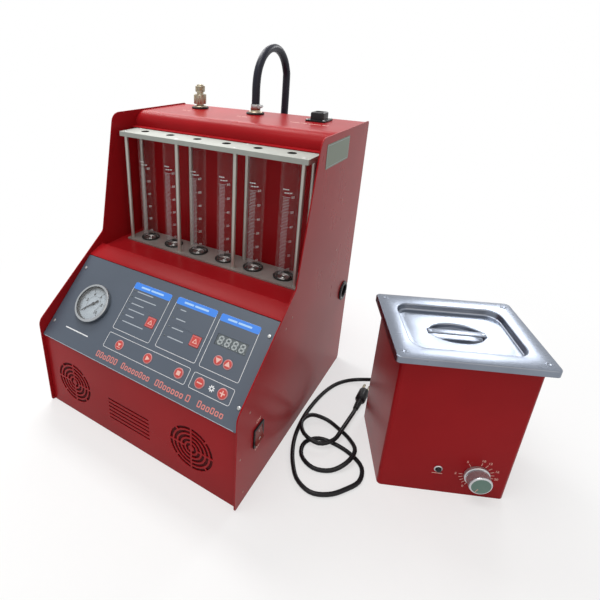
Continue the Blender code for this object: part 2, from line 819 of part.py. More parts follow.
def front_panel():
    """Folded front: upright face with its grilles, and the sloping seat of the control plate."""
    slope = math.cos(PANEL_TILT)
    reach = (FRONT_RECESS - PANEL_FOOT_DEPTH - FRONT_SLOPE * math.sin(PANEL_TILT)) / slope
    outline = folded([
        (FRONT_RECESS, GAP),
        panel_section(reach, FRONT_SLOPE),
        panel_section(PANEL_LENGTH - PANEL_END, FRONT_SLOPE),
    ], SHEET)
    front = flat("front_panel", [outline], SPAN, "red_paint", section(0))
    face = frame((0, FRONT + FRONT_RECESS + SHEET / 2, 0), X_AXIS, Z_AXIS)
    grille = flat("grille_cutter", grille_outlines(), SHEET + OVERRUN, None, face)
    window = box(
        "panel_window_cutter",
        (-SPAN / 2 + PANEL_REST, PANEL_REST, -FRONT_SLOPE - SHEET - OVERRUN),
        (SPAN / 2 - PANEL_REST, PANEL_LENGTH - PANEL_REST, OVERRUN),
        None, PANEL,
    )
    cut(front, grille, window)


def tube_shelf():
    """Ledge, drip shelf and back wall of the tube bay in one folded sheet."""
    outline = folded([
        panel_section(PANEL_LENGTH + LIP_GAP, 0),
        (LEDGE_FRONT_DEPTH, LEDGE_FRONT_HEIGHT),
        (LEDGE_BACK_DEPTH, LEDGE_BACK_HEIGHT),
        (SHELF_FRONT_DEPTH, SHELF_HEIGHT),
        (BAY_DEPTH, SHELF_HEIGHT),
        (BAY_DEPTH, RAIL_TOP),
    ], SHEET)
    shelf = flat("tube_shelf", [outline], SPAN, "red_paint", section(0))
    drains = slab(
        "drain_cutter", [circle(DRAIN_RADIUS, x, 0, SMALL_STEPS) for x in tube_places()],
        -SHEET - OVERRUN, OVERRUN, None, upright(0, TUBE_DEPTH, SHELF_HEIGHT),
    )
    cut(shelf, drains)


def top_cover():
    """Top of the case, rolled down in front to the lip over the rail, with a flange behind."""
    roll_middle = COVER_FACE_DEPTH + COVER_ROLL
    roll_level = TOP_HEIGHT - COVER_ROLL
    turns = [math.pi - math.pi / 2 * step / ROLL_STEPS for step in range(ROLL_STEPS + 1)]
    roll = [(roll_middle + COVER_ROLL * math.cos(t), roll_level + COVER_ROLL * math.sin(t)) for t in turns]
    outline = folded([
        (COVER_LIP_DEPTH, COVER_LIP_TOP),
        (COVER_FACE_DEPTH, COVER_LIP_TOP),
        *roll,
        (COVER_BACK_DEPTH, TOP_HEIGHT),
        (COVER_BACK_DEPTH, TOP_HEIGHT - COVER_FLANGE),
    ], SHEET)
    cover = flat("top_cover", [outline], SPAN, "red_paint", section(0))
    outlet, back, signal = fitting_places()
    holes = slab("fitting_hole_cutter", [
        circle(SHANK_RADIUS + GAP, outlet, 0, SMALL_STEPS),
        circle(SHANK_RADIUS + GAP, back, 0, SMALL_STEPS),
        rectangle(SIGNAL_BODY_WIDTH + 2 * GAP, SIGNAL_BODY_DEPTH + 2 * GAP, 0, signal, 0),
    ], -SHEET - OVERRUN, OVERRUN, None, upright(0, FITTING_DEPTH, TOP_HEIGHT))
    cut(cover, holes)


def rear_and_base():
    """Flat rear panel with its vent slots, and the base that the cabinet rests on."""
    bottom = FLOOR_SEAT
    top = TOP_HEIGHT - SHEET - GAP
    corner = REAR_SLOT_WIDTH * SLOT_CORNER_SHARE
    slots = [
        rectangle(REAR_SLOT_LENGTH, REAR_SLOT_WIDTH, corner, 0, REAR_SLOT_HEIGHT + n * REAR_SLOT_PITCH)
        for n in range(REAR_SLOTS)
    ]
    face = frame((0, FRONT + REAR_FACE_DEPTH - SHEET / 2, 0), X_AXIS, Z_AXIS)
    outline = rectangle(SPAN, top - bottom, 0, 0, (top + bottom) / 2)
    flat("rear_panel", [outline, *slots], SHEET, "red_paint", face)
    front = FRONT_RECESS + SHEET + GAP
    box(
        "base_panel", (-SPAN / 2, front, 0), (SPAN / 2, REAR_FACE_DEPTH, SHEET),
        "red_paint", upright(0, 0, 0),
    )


def tube_places():
    """Places across the cabinet of the measuring tubes."""
    return [(n - (TUBE_COUNT - 1) / 2) * TUBE_PITCH for n in range(TUBE_COUNT)]


def rod_places():
    """Places across the cabinet of the rods, each halfway between two tubes."""
    return [(n - (ROD_COLUMNS - 1) / 2) * 2 * TUBE_PITCH for n in range(ROD_COLUMNS)]


def fitting_places():
    """Places across the cabinet of the outlet, the return and the signal socket."""
    return [FITTING_SHIFT + n * FITTING_SPREAD for n in (-1, 0, 1)]


def tube_bay():
    """Rails, rods and the six measuring tubes."""
    row = upright(0, TUBE_DEPTH, 0)
    holes = [circle(RAIL_HOLE_RADIUS, x, 0) for x in tube_places()]
    outline = rectangle(RAIL_LENGTH, RAIL_WIDTH, RAIL_CORNER)
    slab("top_rail", [outline, *holes], RAIL_BOTTOM, RAIL_TOP, "aluminium", row)
    seats = [circle(TUBE_RADIUS + GAP, x, 0) for x in tube_places()]
    outline = rectangle(SEAT_LENGTH, RAIL_WIDTH, RAIL_CORNER)
    slab("bottom_rail", [outline, *seats], SEAT_BOTTOM, SEAT_TOP, "grey_steel", row)
    bottom, top = SEAT_BOTTOM, RAIL_BOTTOM - GAP
    bore = TUBE_RADIUS - TUBE_WALL
    for number, x in enumerate(tube_places(), 1):
        profile = [(TUBE_RADIUS, top), (TUBE_RADIUS, bottom), (bore, bottom), (bore, top)]
        turned(f"measuring_tube_{number}", profile, "glass", upright(x, TUBE_DEPTH, 0))
    for row_side, row_name in ((-1, "front"), (1, "rear")):
        for number, x in enumerate(rod_places(), 1):
            depth = TUBE_DEPTH + row_side * ROD_SPREAD / 2
            rod(
                f"{row_name}_rod_{number}", ROD_RADIUS, SEAT_TOP + GAP, RAIL_BOTTOM - GAP,
                "aluminium", upright(x, depth, 0), SMALL_STEPS,
            )


def key_round(name, radius, across, up):
    """Round key with a flange behind the plate that keeps it in."""
    lip = radius + KEY_FLANGE_LIP
    flange_top = PLATE_BACK - GAP
    profile = [
        (0, KEY_PROUD), (radius, KEY_PROUD), (radius, flange_top), (lip, flange_top),
        (lip, flange_top - KEY_FLANGE), (0, flange_top - KEY_FLANGE),
    ]
    turned(name, profile, "key_red", on_panel(across, up), SMALL_STEPS)


def key_square(name, across, up):
    """Square key with a flange behind the plate that keeps it in."""
    flange_top = PLATE_BACK - GAP
    half = SQUARE_KEY / 2
    lip = half + KEY_FLANGE_LIP
    seat = on_panel(across, up)
    key = box(
        name, (-half, -half, flange_top - KEY_FLANGE / 2), (half, half, KEY_PROUD), "key_red", seat
    )
    flange = box(
        f"{name}_flange", (-lip, -lip, flange_top - KEY_FLANGE), (lip, lip, flange_top), None, seat
    )
    join(key, flange)


def key_places():
    """Place of every key across and up the control plate."""
    return [*ROUND_KEYS.values(), *ARROW_KEYS.values(), *SQUARE_KEYS.values()]


def control_plate():
    """Slate control plate, its keys, its display and the board behind them."""
    outline = rectangle(
        2 * (INNER_HALF - PANEL_SIDE_GAP), PANEL_LENGTH, PANEL_CORNER, 0, PANEL_LENGTH / 2
    )
    holes = [circle(GAUGE_CASE_RADIUS + GAP, GAUGE_ACROSS, GAUGE_UP)]
    for across, up in ROUND_KEYS.values():
        holes.append(circle(KEY_RADIUS + GAP, across, up, SMALL_STEPS))
    for across, up in ARROW_KEYS.values():
        holes.append(circle(ARROW_RADIUS + GAP, across, up, SMALL_STEPS))
    for across, up in SQUARE_KEYS.values():
        holes.append(rectangle(SQUARE_KEY + 2 * GAP, SQUARE_KEY + 2 * GAP, 0, across, up))
    holes.append(
        rectangle(DISPLAY_WIDTH + 2 * GAP, DISPLAY_HEIGHT + 2 * GAP, 0, DISPLAY_ACROSS, DISPLAY_UP)
    )
    slab("control_plate", [outline, *holes], PLATE_BACK, 0, "slate_plate", PANEL)
    for name, (across, up) in ROUND_KEYS.items():
        key_round(name, KEY_RADIUS, across, up)
    for name, (across, up) in ARROW_KEYS.items():
        key_round(name, ARROW_RADIUS, across, up)
    for name, (across, up) in SQUARE_KEYS.items():
        key_square(name, across, up)
    half_width, half_height = DISPLAY_WIDTH / 2, DISPLAY_HEIGHT / 2
    board_face = -BOARD_DEPTH
    box(
        "display", (-half_width, -half_height, board_face + GAP),
        (half_width, half_height, -DISPLAY_SUNK), "display_smoke", on_panel(DISPLAY_ACROSS, DISPLAY_UP),
    )
    board = box(
        "control_board", (BOARD_LEFT, BOARD_BOTTOM, board_face - BOARD_THICKNESS),
        (BOARD_RIGHT, BOARD_TOP, board_face), "board_green", PANEL,
    )
    inside = board_face - BOARD_THICKNESS / 2
    corners = [
        (x, y)
        for x in (BOARD_LEFT + STANDOFF_INSET, BOARD_RIGHT - STANDOFF_INSET)
        for y in (BOARD_BOTTOM + STANDOFF_INSET, BOARD_TOP - STANDOFF_INSET)
    ]
    switches = slab(
        "key_switches", [circle(SWITCH_RADIUS, x, y, TINY_STEPS) for x, y in key_places()],
        inside, KEY_BOTTOM - GAP, None, PANEL,
    )
    standoffs = slab(
        "board_standoffs", [circle(STANDOFF_RADIUS, x, y, TINY_STEPS) for x, y in corners],
        inside, PLATE_BACK - GAP, None, PANEL,
    )
    join(board, switches, standoffs)


def pressure_gauge():
    """Round gauge in the control plate: case, dial, needle on its arbor, and lens."""
    seat = on_panel(GAUGE_ACROSS, GAUGE_UP)
    floor = GAP
    dial_bottom = floor + GAP
    dial_top = dial_bottom + DIAL_THICKNESS
    rim_bottom = GAUGE_BEZEL_HEIGHT - GAUGE_RIM
    case_back = -GAUGE_CASE_DEPTH
    turned("gauge_case", [
        (GAUGE_RIM_RADIUS, GAUGE_BEZEL_HEIGHT),
        (GAUGE_BEZEL_RADIUS - GAUGE_BEZEL_BEVEL, GAUGE_BEZEL_HEIGHT),
        (GAUGE_BEZEL_RADIUS, GAUGE_BEZEL_HEIGHT - GAUGE_BEZEL_BEVEL),
        (GAUGE_BEZEL_RADIUS, GAP),
        (GAUGE_CASE_RADIUS, GAP),
        (GAUGE_CASE_RADIUS, case_back),
        (GAUGE_STEM_RADIUS, case_back),
        (GAUGE_STEM_RADIUS, case_back - GAUGE_STEM_LENGTH),
        (ARBOR_HOLE, case_back - GAUGE_STEM_LENGTH),
        (ARBOR_HOLE, floor),
        (GAUGE_POST_RADIUS, floor),
        (GAUGE_POST_RADIUS, -GAUGE_ROOM_DEPTH),
        (GAUGE_ROOM_RADIUS, -GAUGE_ROOM_DEPTH),
        (GAUGE_ROOM_RADIUS, floor),
        (GAUGE_BORE_RADIUS, floor),
        (GAUGE_BORE_RADIUS, rim_bottom),
        (GAUGE_RIM_RADIUS, rim_bottom),
    ], "bright_steel", seat)
    turned("gauge_dial", [
        (GAUGE_BORE_RADIUS - GAP, dial_top), (GAUGE_BORE_RADIUS - GAP, dial_bottom),
        (ARBOR_HOLE, dial_bottom), (ARBOR_HOLE, dial_top),
    ], "white_dial", seat)
    lens_top = rim_bottom - GAP
    rod(
        "gauge_lens", GAUGE_BORE_RADIUS - GAP, lens_top - GAUGE_LENS, lens_top, "glass", seat
    )
    hub_bottom = dial_top + GAP
    turning = seat @ Matrix.Rotation(NEEDLE_ZERO, 4, "Z")
    needle = turned("gauge_needle", [
        (0, hub_bottom + HUB_HEIGHT), (HUB_RADIUS, hub_bottom + HUB_HEIGHT), (HUB_RADIUS, hub_bottom),
        (ARBOR_RADIUS, hub_bottom), (ARBOR_RADIUS, -ARBOR_DEPTH), (0, -ARBOR_DEPTH),
    ], "black_plastic", turning, SMALL_STEPS)
    low = dial_top + NEEDLE_LIFT
    pointer = slab("needle_pointer", [[
        (-NEEDLE_TAIL, -NEEDLE_TAIL_WIDTH / 2), (HUB_RADIUS, -NEEDLE_WIDTH),
        (NEEDLE_LENGTH, -NEEDLE_WIDTH / 4), (NEEDLE_LENGTH, NEEDLE_WIDTH / 4),
        (HUB_RADIUS, NEEDLE_WIDTH), (-NEEDLE_TAIL, NEEDLE_TAIL_WIDTH / 2),
    ]], low, low + NEEDLE_THICKNESS, None, turning)
    join(needle, pointer)


def top_fittings():
    """Outlet coupler with its sliding sleeve, and the return fitting."""
    outlet, back, _ = fitting_places()
    shank_bottom = TOP_HEIGHT - SHANK_LENGTH
    flange_top = FITTING_BASE + FITTING_FLANGE
    hex_bottom = FITTING_TOP + NECK_LENGTH
    hex_top = hex_bottom + HEX_LENGTH
    stem_top = hex_top + COUPLER_STEM_LENGTH
    bore_bottom = stem_top - COUPLER_BORE_DEPTH
    seat = upright(outlet, FITTING_DEPTH, 0)
    body = turned("outlet_coupler", [
        (0, stem_top), (COUPLER_STEM_RADIUS, stem_top),
        (COUPLER_STEM_RADIUS, hex_top - HEX_LENGTH / 2), (NECK_RADIUS, hex_top - HEX_LENGTH / 2),
        (NECK_RADIUS, FITTING_TOP), (SEAT_RADIUS, FITTING_TOP),
        (FITTING_FLANGE_RADIUS, flange_top), (FITTING_FLANGE_RADIUS, FITTING_BASE),
        (SHANK_RADIUS, FITTING_BASE), (SHANK_RADIUS, shank_bottom), (0, shank_bottom),
    ], "brass", seat)
    nut = rod("outlet_hex", HEX_RADIUS, hex_bottom, hex_top, None, seat, 6)
    bore = rod("outlet_bore", COUPLER_BORE, bore_bottom, stem_top + OVERRUN, None, seat, SMALL_STEPS)
    cut(join(body, nut), bore)
    sleeve_bottom = hex_top + GAP + SLEEVE_TRAVEL
    sleeve_top = sleeve_bottom + SLEEVE_LENGTH
    inner = COUPLER_STEM_RADIUS + GAP
    turned("outlet_sleeve", [
        (SLEEVE_RADIUS, sleeve_top), (SLEEVE_RADIUS, sleeve_bottom),
        (inner, sleeve_bottom), (inner, sleeve_top),
    ], "bright_steel", seat)
    seat = upright(back, FITTING_DEPTH, 0)
    barb_top = FITTING_TOP + BARB_LENGTH
    fitting = turned("return_fitting", [
        (0, barb_top), (BARB_RADIUS, barb_top), (BARB_RADIUS, FITTING_TOP), (SEAT_RADIUS, FITTING_TOP),
        (FITTING_FLANGE_RADIUS, flange_top), (FITTING_FLANGE_RADIUS, FITTING_BASE),
        (SHANK_RADIUS, FITTING_BASE), (SHANK_RADIUS, shank_bottom), (0, shank_bottom),
    ], "brass", seat)
    bore = rod(
        "return_bore", BARB_BORE, barb_top - BARB_BORE_DEPTH, barb_top + OVERRUN, None, seat, SMALL_STEPS
    )
    cut(fitting, bore)


def return_hose():
    """Hose on the return fitting, its clamp, and the coupler that hangs on its far end."""
    _, back, _ = fitting_places()
    start = FITTING_TOP + BARB_LENGTH + GAP
    seat = upright(back, FITTING_DEPTH, 0)
    foot = seat.translation
    level = start + HOSE_RISE
    turns = [math.pi * (1 - step / HOSE_BEND_STEPS) for step in range(HOSE_BEND_STEPS + 1)]
    route = [(foot.x, foot.y, start), (foot.x, foot.y, start + HOSE_RISE / 2)]
    route += [
        (foot.x, foot.y + HOSE_BEND * (1 + math.cos(t)), level + HOSE_BEND * math.sin(t)) for t in turns
    ]
    end = Vector((foot.x, foot.y + 2 * HOSE_BEND, level - HOSE_DROP))
    route += [(end.x, end.y, level - HOSE_DROP / 2), tuple(end)]
    tube("return_hose", smooth_route(route, HOSE_SPACING), HOSE_RADIUS, "black_rubber")
    bottom = start + CLAMP_START
    inner = HOSE_RADIUS + GAP
    outer = inner + CLAMP_BAND
    clamp = turned("hose_clamp", [
        (outer, bottom + CLAMP_WIDTH), (outer, bottom), (inner, bottom), (inner, bottom + CLAMP_WIDTH),
    ], "bright_steel", seat)
    low = bottom + (CLAMP_WIDTH - CLAMP_BOX_HEIGHT) / 2
    housing = box(
        "clamp_screw_box", (inner + CLAMP_BAND / 2, -CLAMP_BOX_LENGTH / 2, low),
        (inner + CLAMP_BAND / 2 + CLAMP_BOX_DEPTH, CLAMP_BOX_LENGTH / 2, low + CLAMP_BOX_HEIGHT),
        None, seat,
    )
    join(clamp, housing)
    hanging = frame(end, X_AXIS, Y_AXIS)
    top = -GAP
    tip = top - END_HEX_LENGTH - END_LENGTH
    coupler = turned("hose_coupler", [
        (0, top), (HOSE_RADIUS, top), (END_RADIUS, top - END_HEX_LENGTH / 2), (END_RADIUS, tip), (0, tip),
    ], "brass", hanging)
    nut = rod(
        "hose_coupler_hex", END_HEX_RADIUS, top - END_HEX_LENGTH, top - END_HEX_LENGTH / 2, None, hanging, 6
    )
    bore = rod(
        "hose_coupler_bore", END_BORE, tip - OVERRUN, tip + END_BORE_DEPTH, None, hanging, SMALL_STEPS
    )
    cut(join(coupler, nut), bore)


def signal_socket():
    """Black socket for the injectors' pulse lead, let into the top cover."""
    _, _, across = fitting_places()
    seat = upright(across, FITTING_DEPTH, FITTING_BASE)
    half = SIGNAL_FLANGE / 2
    top = SIGNAL_FLANGE + SIGNAL_HEIGHT
    socket = slab(
        "signal_socket", [rectangle(SIGNAL_FLANGE_WIDTH, SIGNAL_FLANGE_DEPTH, SIGNAL_CORNER)],
        0, SIGNAL_FLANGE, "black_plastic", seat,
    )
    block = slab(
        "signal_block", [rectangle(SIGNAL_WIDTH, SIGNAL_DEPTH, SIGNAL_CORNER)], half, top, None, seat
    )
    body = box(
        "signal_body", (-SIGNAL_BODY_WIDTH / 2, -SIGNAL_BODY_DEPTH / 2, -SIGNAL_BODY_DROP),
        (SIGNAL_BODY_WIDTH / 2, SIGNAL_BODY_DEPTH / 2, half), None, seat,
    )
    bore = rod("signal_bore", SIGNAL_BORE, top - SIGNAL_BORE_DEPTH, top + OVERRUN, None, seat, SMALL_STEPS)
    cut(join(socket, block, body), bore)


def side_fittings():
    """Rocker switch and round socket in the right side plate."""
    seat = outward_right(SWITCH_DEPTH, SWITCH_HEIGHT, GAP)
    half_width, half_height = SWITCH_BODY_WIDTH / 2, SWITCH_BODY_HEIGHT / 2
    well_width = SWITCH_BODY_WIDTH - 2 * SWITCH_WALL
    well_height = SWITCH_BODY_HEIGHT - 2 * SWITCH_WALL
    switch = slab(
        "switch_frame", [rectangle(SWITCH_FLANGE_WIDTH, SWITCH_FLANGE_HEIGHT)],
        0, SWITCH_FLANGE, "black_plastic", seat,
    )
    body = box(
        "switch_body", (-half_width, -half_height, -SWITCH_BODY_DEPTH),
        (half_width, half_height, SWITCH_FLANGE / 2), None, seat,
    )
    well = box(
        "switch_well", (-well_width / 2, -well_height / 2, -SWITCH_WELL_DEPTH),
        (well_width / 2, well_height / 2, SWITCH_FLANGE + OVERRUN), None, seat,
    )
    cut(join(switch, body), well)
    pivot = frame(seat.translation - X_AXIS * ROCKER_SKIRT / 2, X_AXIS, Z_AXIS)
    tilted = pivot @ Matrix.Rotation(ROCKER_SWING, 4, "Z")
    flat("switch_rocker", [[
        (-ROCKER_SKIRT, -ROCKER_HALF), (ROCKER_FACE, -ROCKER_HALF), (ROCKER_FACE - ROCKER_DIP, 0),
        (ROCKER_FACE, ROCKER_HALF), (-ROCKER_SKIRT, ROCKER_HALF),
    ]], well_width - 2 * ROCKER_SIDE_GAP, "key_red", tilted)
    seat = outward_right(SOCKET_DEPTH, SOCKET_HEIGHT, GAP)
    socket = turned("side_socket", [
        (0, SOCKET_FLANGE), (SOCKET_FLANGE_RADIUS, SOCKET_FLANGE), (SOCKET_FLANGE_RADIUS, 0),
        (SOCKET_RADIUS, 0), (SOCKET_RADIUS, -SOCKET_LENGTH), (0, -SOCKET_LENGTH),
    ], "black_plastic", seat)
    bore_floor = SOCKET_FLANGE - SOCKET_BORE_DEPTH
    bore = rod("side_socket_bore", SOCKET_BORE, bore_floor, SOCKET_FLANGE + OVERRUN, None, seat)
    cut(socket, bore)


def inside_cabinet():
    """Liquid tank, pump and power supply on the base."""
    seat = upright(0, 0, FLOOR_SEAT)
    width, depth = TANK_RIGHT - TANK_LEFT, TANK_BACK - TANK_FRONT
    across, back = (TANK_RIGHT + TANK_LEFT) / 2, (TANK_BACK + TANK_FRONT) / 2
    tank = slab(
        "liquid_tank", [rectangle(width, depth, TANK_CORNER, across, back)],
        0, TANK_HEIGHT, "bright_steel", seat,
    )
    room = slab(
        "liquid_tank_room",
        [rectangle(width - 2 * SHEET, depth - 2 * SHEET, TANK_CORNER - SHEET, across, back)],
        SHEET, TANK_HEIGHT + OVERRUN, None, seat,
    )
    cut(tank, room)
    lying = frame((PUMP_ACROSS, FRONT + PUMP_DEPTH, FLOOR_SEAT + PUMP_RADIUS), Y_AXIS, Z_AXIS)
    half = PUMP_LENGTH / 2
    turned("fuel_pump", [
        (0, half + PUMP_PORT_LENGTH), (PUMP_PORT_RADIUS, half + PUMP_PORT_LENGTH),
        (PUMP_PORT_RADIUS, half), (PUMP_RADIUS, half), (PUMP_RADIUS, -half), (PUMP_PORT_RADIUS, -half),
        (PUMP_PORT_RADIUS, -half - PUMP_PORT_LENGTH), (0, -half - PUMP_PORT_LENGTH),
    ], "aluminium", lying)
    seat = upright(SUPPLY_ACROSS, SUPPLY_DEPTH, FLOOR_SEAT)
    half_width, half_length = SUPPLY_WIDTH / 2, SUPPLY_LENGTH / 2
    supply = box(
        "power_supply", (-half_width, -half_length, 0), (half_width, half_length, SUPPLY_HEIGHT),
        "grey_steel", seat,
    )
    room = box(
        "power_supply_room", (SHEET - half_width, SHEET - half_length, -OVERRUN),
        (half_width - SHEET, half_length - SHEET, SUPPLY_HEIGHT - SHEET), None, seat,
    )
    cut(supply, room)


def bath_body():
    """Housing of the bath, its steel tank and the transducer under the tank."""
    middle = on_bath(0, BATH_DEPTH / 2, 0)
    housing = slab(
        "bath_housing", [rectangle(BATH_WIDTH, BATH_DEPTH, BATH_CORNER)],
        0, BATH_HEIGHT, "red_paint", middle,
    )
    inner_width, inner_depth = BATH_WIDTH - 2 * BATH_SHEET, BATH_DEPTH - 2 * BATH_SHEET
    room = slab(
        "bath_housing_room", [rectangle(inner_width, inner_depth, BATH_CORNER - BATH_SHEET)],
        BATH_SHEET, BATH_HEIGHT + OVERRUN, None, middle,
    )
    knob_hole = rod(
        "knob_hole", KNOB_SHAFT_RADIUS + GAP, -OVERRUN, BATH_SHEET + OVERRUN, None,
        frame(BATH @ Vector((KNOB_ACROSS, 0, KNOB_HEIGHT)), -BATH_RIGHT, Z_AXIS), SMALL_STEPS,
    )
    gland_hole = rod(
        "gland_hole", GLAND_NECK_RADIUS + GAP, -BATH_SHEET - OVERRUN, OVERRUN, None,
        gland_frame(), SMALL_STEPS,
    )
    cut(housing, room, knob_hole, gland_hole)
    tank = slab(
        "bath_tank", [rectangle(BATH_TANK_WIDTH, BATH_TANK_DEPTH, BATH_TANK_CORNER)],
        BATH_TANK_FLOOR, BATH_RIM_BOTTOM + STEEL / 2, "bright_steel", middle,
    )
    rim_width = BATH_WIDTH + 2 * BATH_RIM_OVERHANG
    rim_depth = BATH_DEPTH + 2 * BATH_RIM_OVERHANG
    rim = slab(
        "bath_rim", [rectangle(rim_width, rim_depth, BATH_CORNER)],
        BATH_RIM_BOTTOM, BATH_RIM_TOP, None, middle,
    )
    room = slab(
        "bath_tank_room",
        [rectangle(BATH_TANK_WIDTH - 2 * STEEL, BATH_TANK_DEPTH - 2 * STEEL, BATH_TANK_CORNER - STEEL)],
        BATH_TANK_FLOOR + STEEL, BATH_RIM_TOP + OVERRUN, None, middle,
    )
    cut(join(tank, rim), room)
    top = BATH_TANK_FLOOR - GAP
    rod("bath_transducer", TRANSDUCER_RADIUS, top - TRANSDUCER_HEIGHT, top, "aluminium", middle)


def bath_lid():
    """Pressed steel lid: skirt, sunk dish, and an oval pit with a bar across it to lift by."""
    middle = on_bath(0, BATH_DEPTH / 2, 0)
    lid = slab(
        "bath_lid", [rectangle(LID_WIDTH, LID_DEPTH, LID_CORNER)],
        LID_TOP - LID_SKIRT, LID_TOP, "bright_steel", middle,
    )
    under = slab(
        "lid_underside",
        [rectangle(LID_WIDTH - 2 * LID_SHEET, LID_DEPTH - 2 * LID_SHEET, LID_CORNER - LID_SHEET)],
        LID_TOP - LID_SKIRT - OVERRUN, LID_BOTTOM, None, middle,
    )
    dish = slab(
        "lid_dish", [rectangle(DISH_WIDTH, DISH_DEPTH, DISH_CORNER)],
        DISH_FLOOR - LID_SHEET, LID_BOTTOM + LID_SHEET / 2, None, middle,
    )
    dish_room = slab(
        "lid_dish_room",
        [rectangle(DISH_WIDTH - 2 * LID_SHEET, DISH_DEPTH - 2 * LID_SHEET, DISH_CORNER - LID_SHEET)],
        DISH_FLOOR, LID_TOP + OVERRUN, None, middle,
    )
    pit = slab(
        "lid_pit", [ellipse(PIT_WIDTH / 2, PIT_DEPTH / 2, steps=PIT_STEPS)],
        PIT_FLOOR - LID_SHEET, DISH_FLOOR - LID_SHEET / 2, None, middle,
    )
    pit_room = slab(
        "lid_pit_room", [ellipse(PIT_WIDTH / 2 - LID_SHEET, PIT_DEPTH / 2 - LID_SHEET, steps=PIT_STEPS)],
        PIT_FLOOR, DISH_FLOOR + OVERRUN, None, middle,
    )
    bar = box(
        "lid_bar", (-PIT_WIDTH / 2, -BAR_WIDTH / 2, DISH_FLOOR - LID_SHEET / 2),
        (PIT_WIDTH / 2, BAR_WIDTH / 2, DISH_FLOOR - LID_SHEET / 2 + BAR_THICKNESS), None, middle,
    )
    cut(lid, under)
    cut(join(lid, dish), dish_room)
    cut(join(lid, pit), pit_room)
    join(lid, bar)


def gland_frame():
    """Frame on the bath's back wall where the lead comes out: third axis straight back."""
    return frame(BATH @ Vector((GLAND_ACROSS, BATH_DEPTH, GLAND_HEIGHT)), -BATH_RIGHT, Z_AXIS)


def bath_fittings():
    """Timer knob on the front of the bath and the gland of its lead on the back."""
    seat = frame(BATH @ Vector((KNOB_ACROSS, 0, KNOB_HEIGHT)), BATH_RIGHT, Z_AXIS)
    turned("bath_timer_knob", [
        (0, GAP + KNOB_LENGTH), (KNOB_RADIUS - KNOB_BEVEL, GAP + KNOB_LENGTH),
        (KNOB_RADIUS, GAP + KNOB_LENGTH - KNOB_BEVEL), (KNOB_RADIUS, GAP + KNOB_SKIRT),
        (KNOB_SKIRT_RADIUS, GAP + KNOB_SKIRT), (KNOB_SKIRT_RADIUS, GAP),
        (KNOB_SHAFT_RADIUS, GAP), (KNOB_SHAFT_RADIUS, -KNOB_SHAFT_LENGTH), (0, -KNOB_SHAFT_LENGTH),
    ], "bright_steel", seat)
    tip = GAP + GLAND_COLLAR + GLAND_LENGTH
    turned("cord_gland", [
        (0, tip), (GLAND_TIP_RADIUS, tip), (GLAND_RADIUS, GAP + GLAND_COLLAR), (GLAND_RADIUS, GAP),
        (GLAND_NECK_RADIUS, GAP), (GLAND_NECK_RADIUS, -BATH_SHEET - OVERRUN), (0, -BATH_SHEET - OVERRUN),
    ], "black_plastic", gland_frame(), SMALL_STEPS)


def bath_lead():
    """The bath's lead in loose loops on the bench, and its plug."""
    exit_face = GAP + GLAND_COLLAR + GLAND_LENGTH + GAP
    gland = gland_frame()
    start = gland @ Vector((0, 0, exit_face))
    straight = gland @ Vector((0, 0, exit_face + CORD_STRAIGHT))
    plug = frame((PLUG_ACROSS, PLUG_BACK, PLUG_HEIGHT), -X_AXIS, Z_AXIS)
    end = plug @ Vector((0, 0, -GAP))
    route = [straight, *CORD_ROUTE, end - Y_AXIS * CORD_STRAIGHT / 2]
    points = [start, *smooth_route(route, CORD_SPACING), end]
    print(f"least gap of the lead to itself: {least_gap(points, CORD_RADIUS) * 1000:.2f} mm")
    tube("bath_cord", points, CORD_RADIUS, "black_rubber")
    body_end = PLUG_RELIEF_LENGTH + PLUG_LENGTH
    body = turned("bath_plug", [
        (0, body_end), (PLUG_RADIUS, body_end), (PLUG_RADIUS, PLUG_RELIEF_LENGTH),
        (PLUG_RELIEF_RADIUS, PLUG_RELIEF_LENGTH), (CORD_RADIUS + GAP, 0), (0, 0),
    ], "black_rubber", plug, SMALL_STEPS)
    for side in (-1, 1):
        pin = plug @ Matrix.Translation((side * PLUG_PIN_SPREAD / 2, 0, 0))
        join(body, rod(
            f"plug_pin_{side}", PLUG_PIN_RADIUS, body_end - OVERRUN, body_end + PLUG_PIN_LENGTH,
            None, pin, TINY_STEPS,
        ))


for old in list(bpy.data.objects):
    bpy.data.objects.remove(old)
parts = new_collection("fuel_injector_cleaner_and_tester")
cutters = new_collection("cutters")
side_panels()
front_panel()
tube_shelf()
top_cover()
rear_and_base()
tube_bay()
control_plate()
pressure_gauge()
top_fittings()
return_hose()
signal_socket()
side_fittings()
inside_cabinet()
bath_body()
bath_lid()
bath_fittings()
bath_lead()
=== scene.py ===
"""Looks of the fuel injector cleaner and tester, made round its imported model.

Metres, +Z up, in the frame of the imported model: the cabinet faces -Y and stands over the origin.
"""

import math

import bmesh
import bpy
from bpy.props import FloatProperty, FloatVectorProperty, IntProperty, PointerProperty
from mathutils import Matrix, Vector


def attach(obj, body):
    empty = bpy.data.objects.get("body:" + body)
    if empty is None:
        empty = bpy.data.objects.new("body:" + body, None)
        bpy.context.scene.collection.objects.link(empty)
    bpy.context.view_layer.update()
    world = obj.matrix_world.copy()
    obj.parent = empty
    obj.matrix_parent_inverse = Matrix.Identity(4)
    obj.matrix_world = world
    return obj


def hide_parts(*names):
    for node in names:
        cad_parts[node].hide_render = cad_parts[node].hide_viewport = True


bl_info = {
    "name": "Fuel injector tester looks",
    "version": (1, 0, 0),
    "blender": (4, 5, 0),
    "location": "3D View > Sidebar > Injector tester",
    "description": "Finishes, prints, fittings and stage of a bench injector tester with its bath",
    "category": "Object",
}

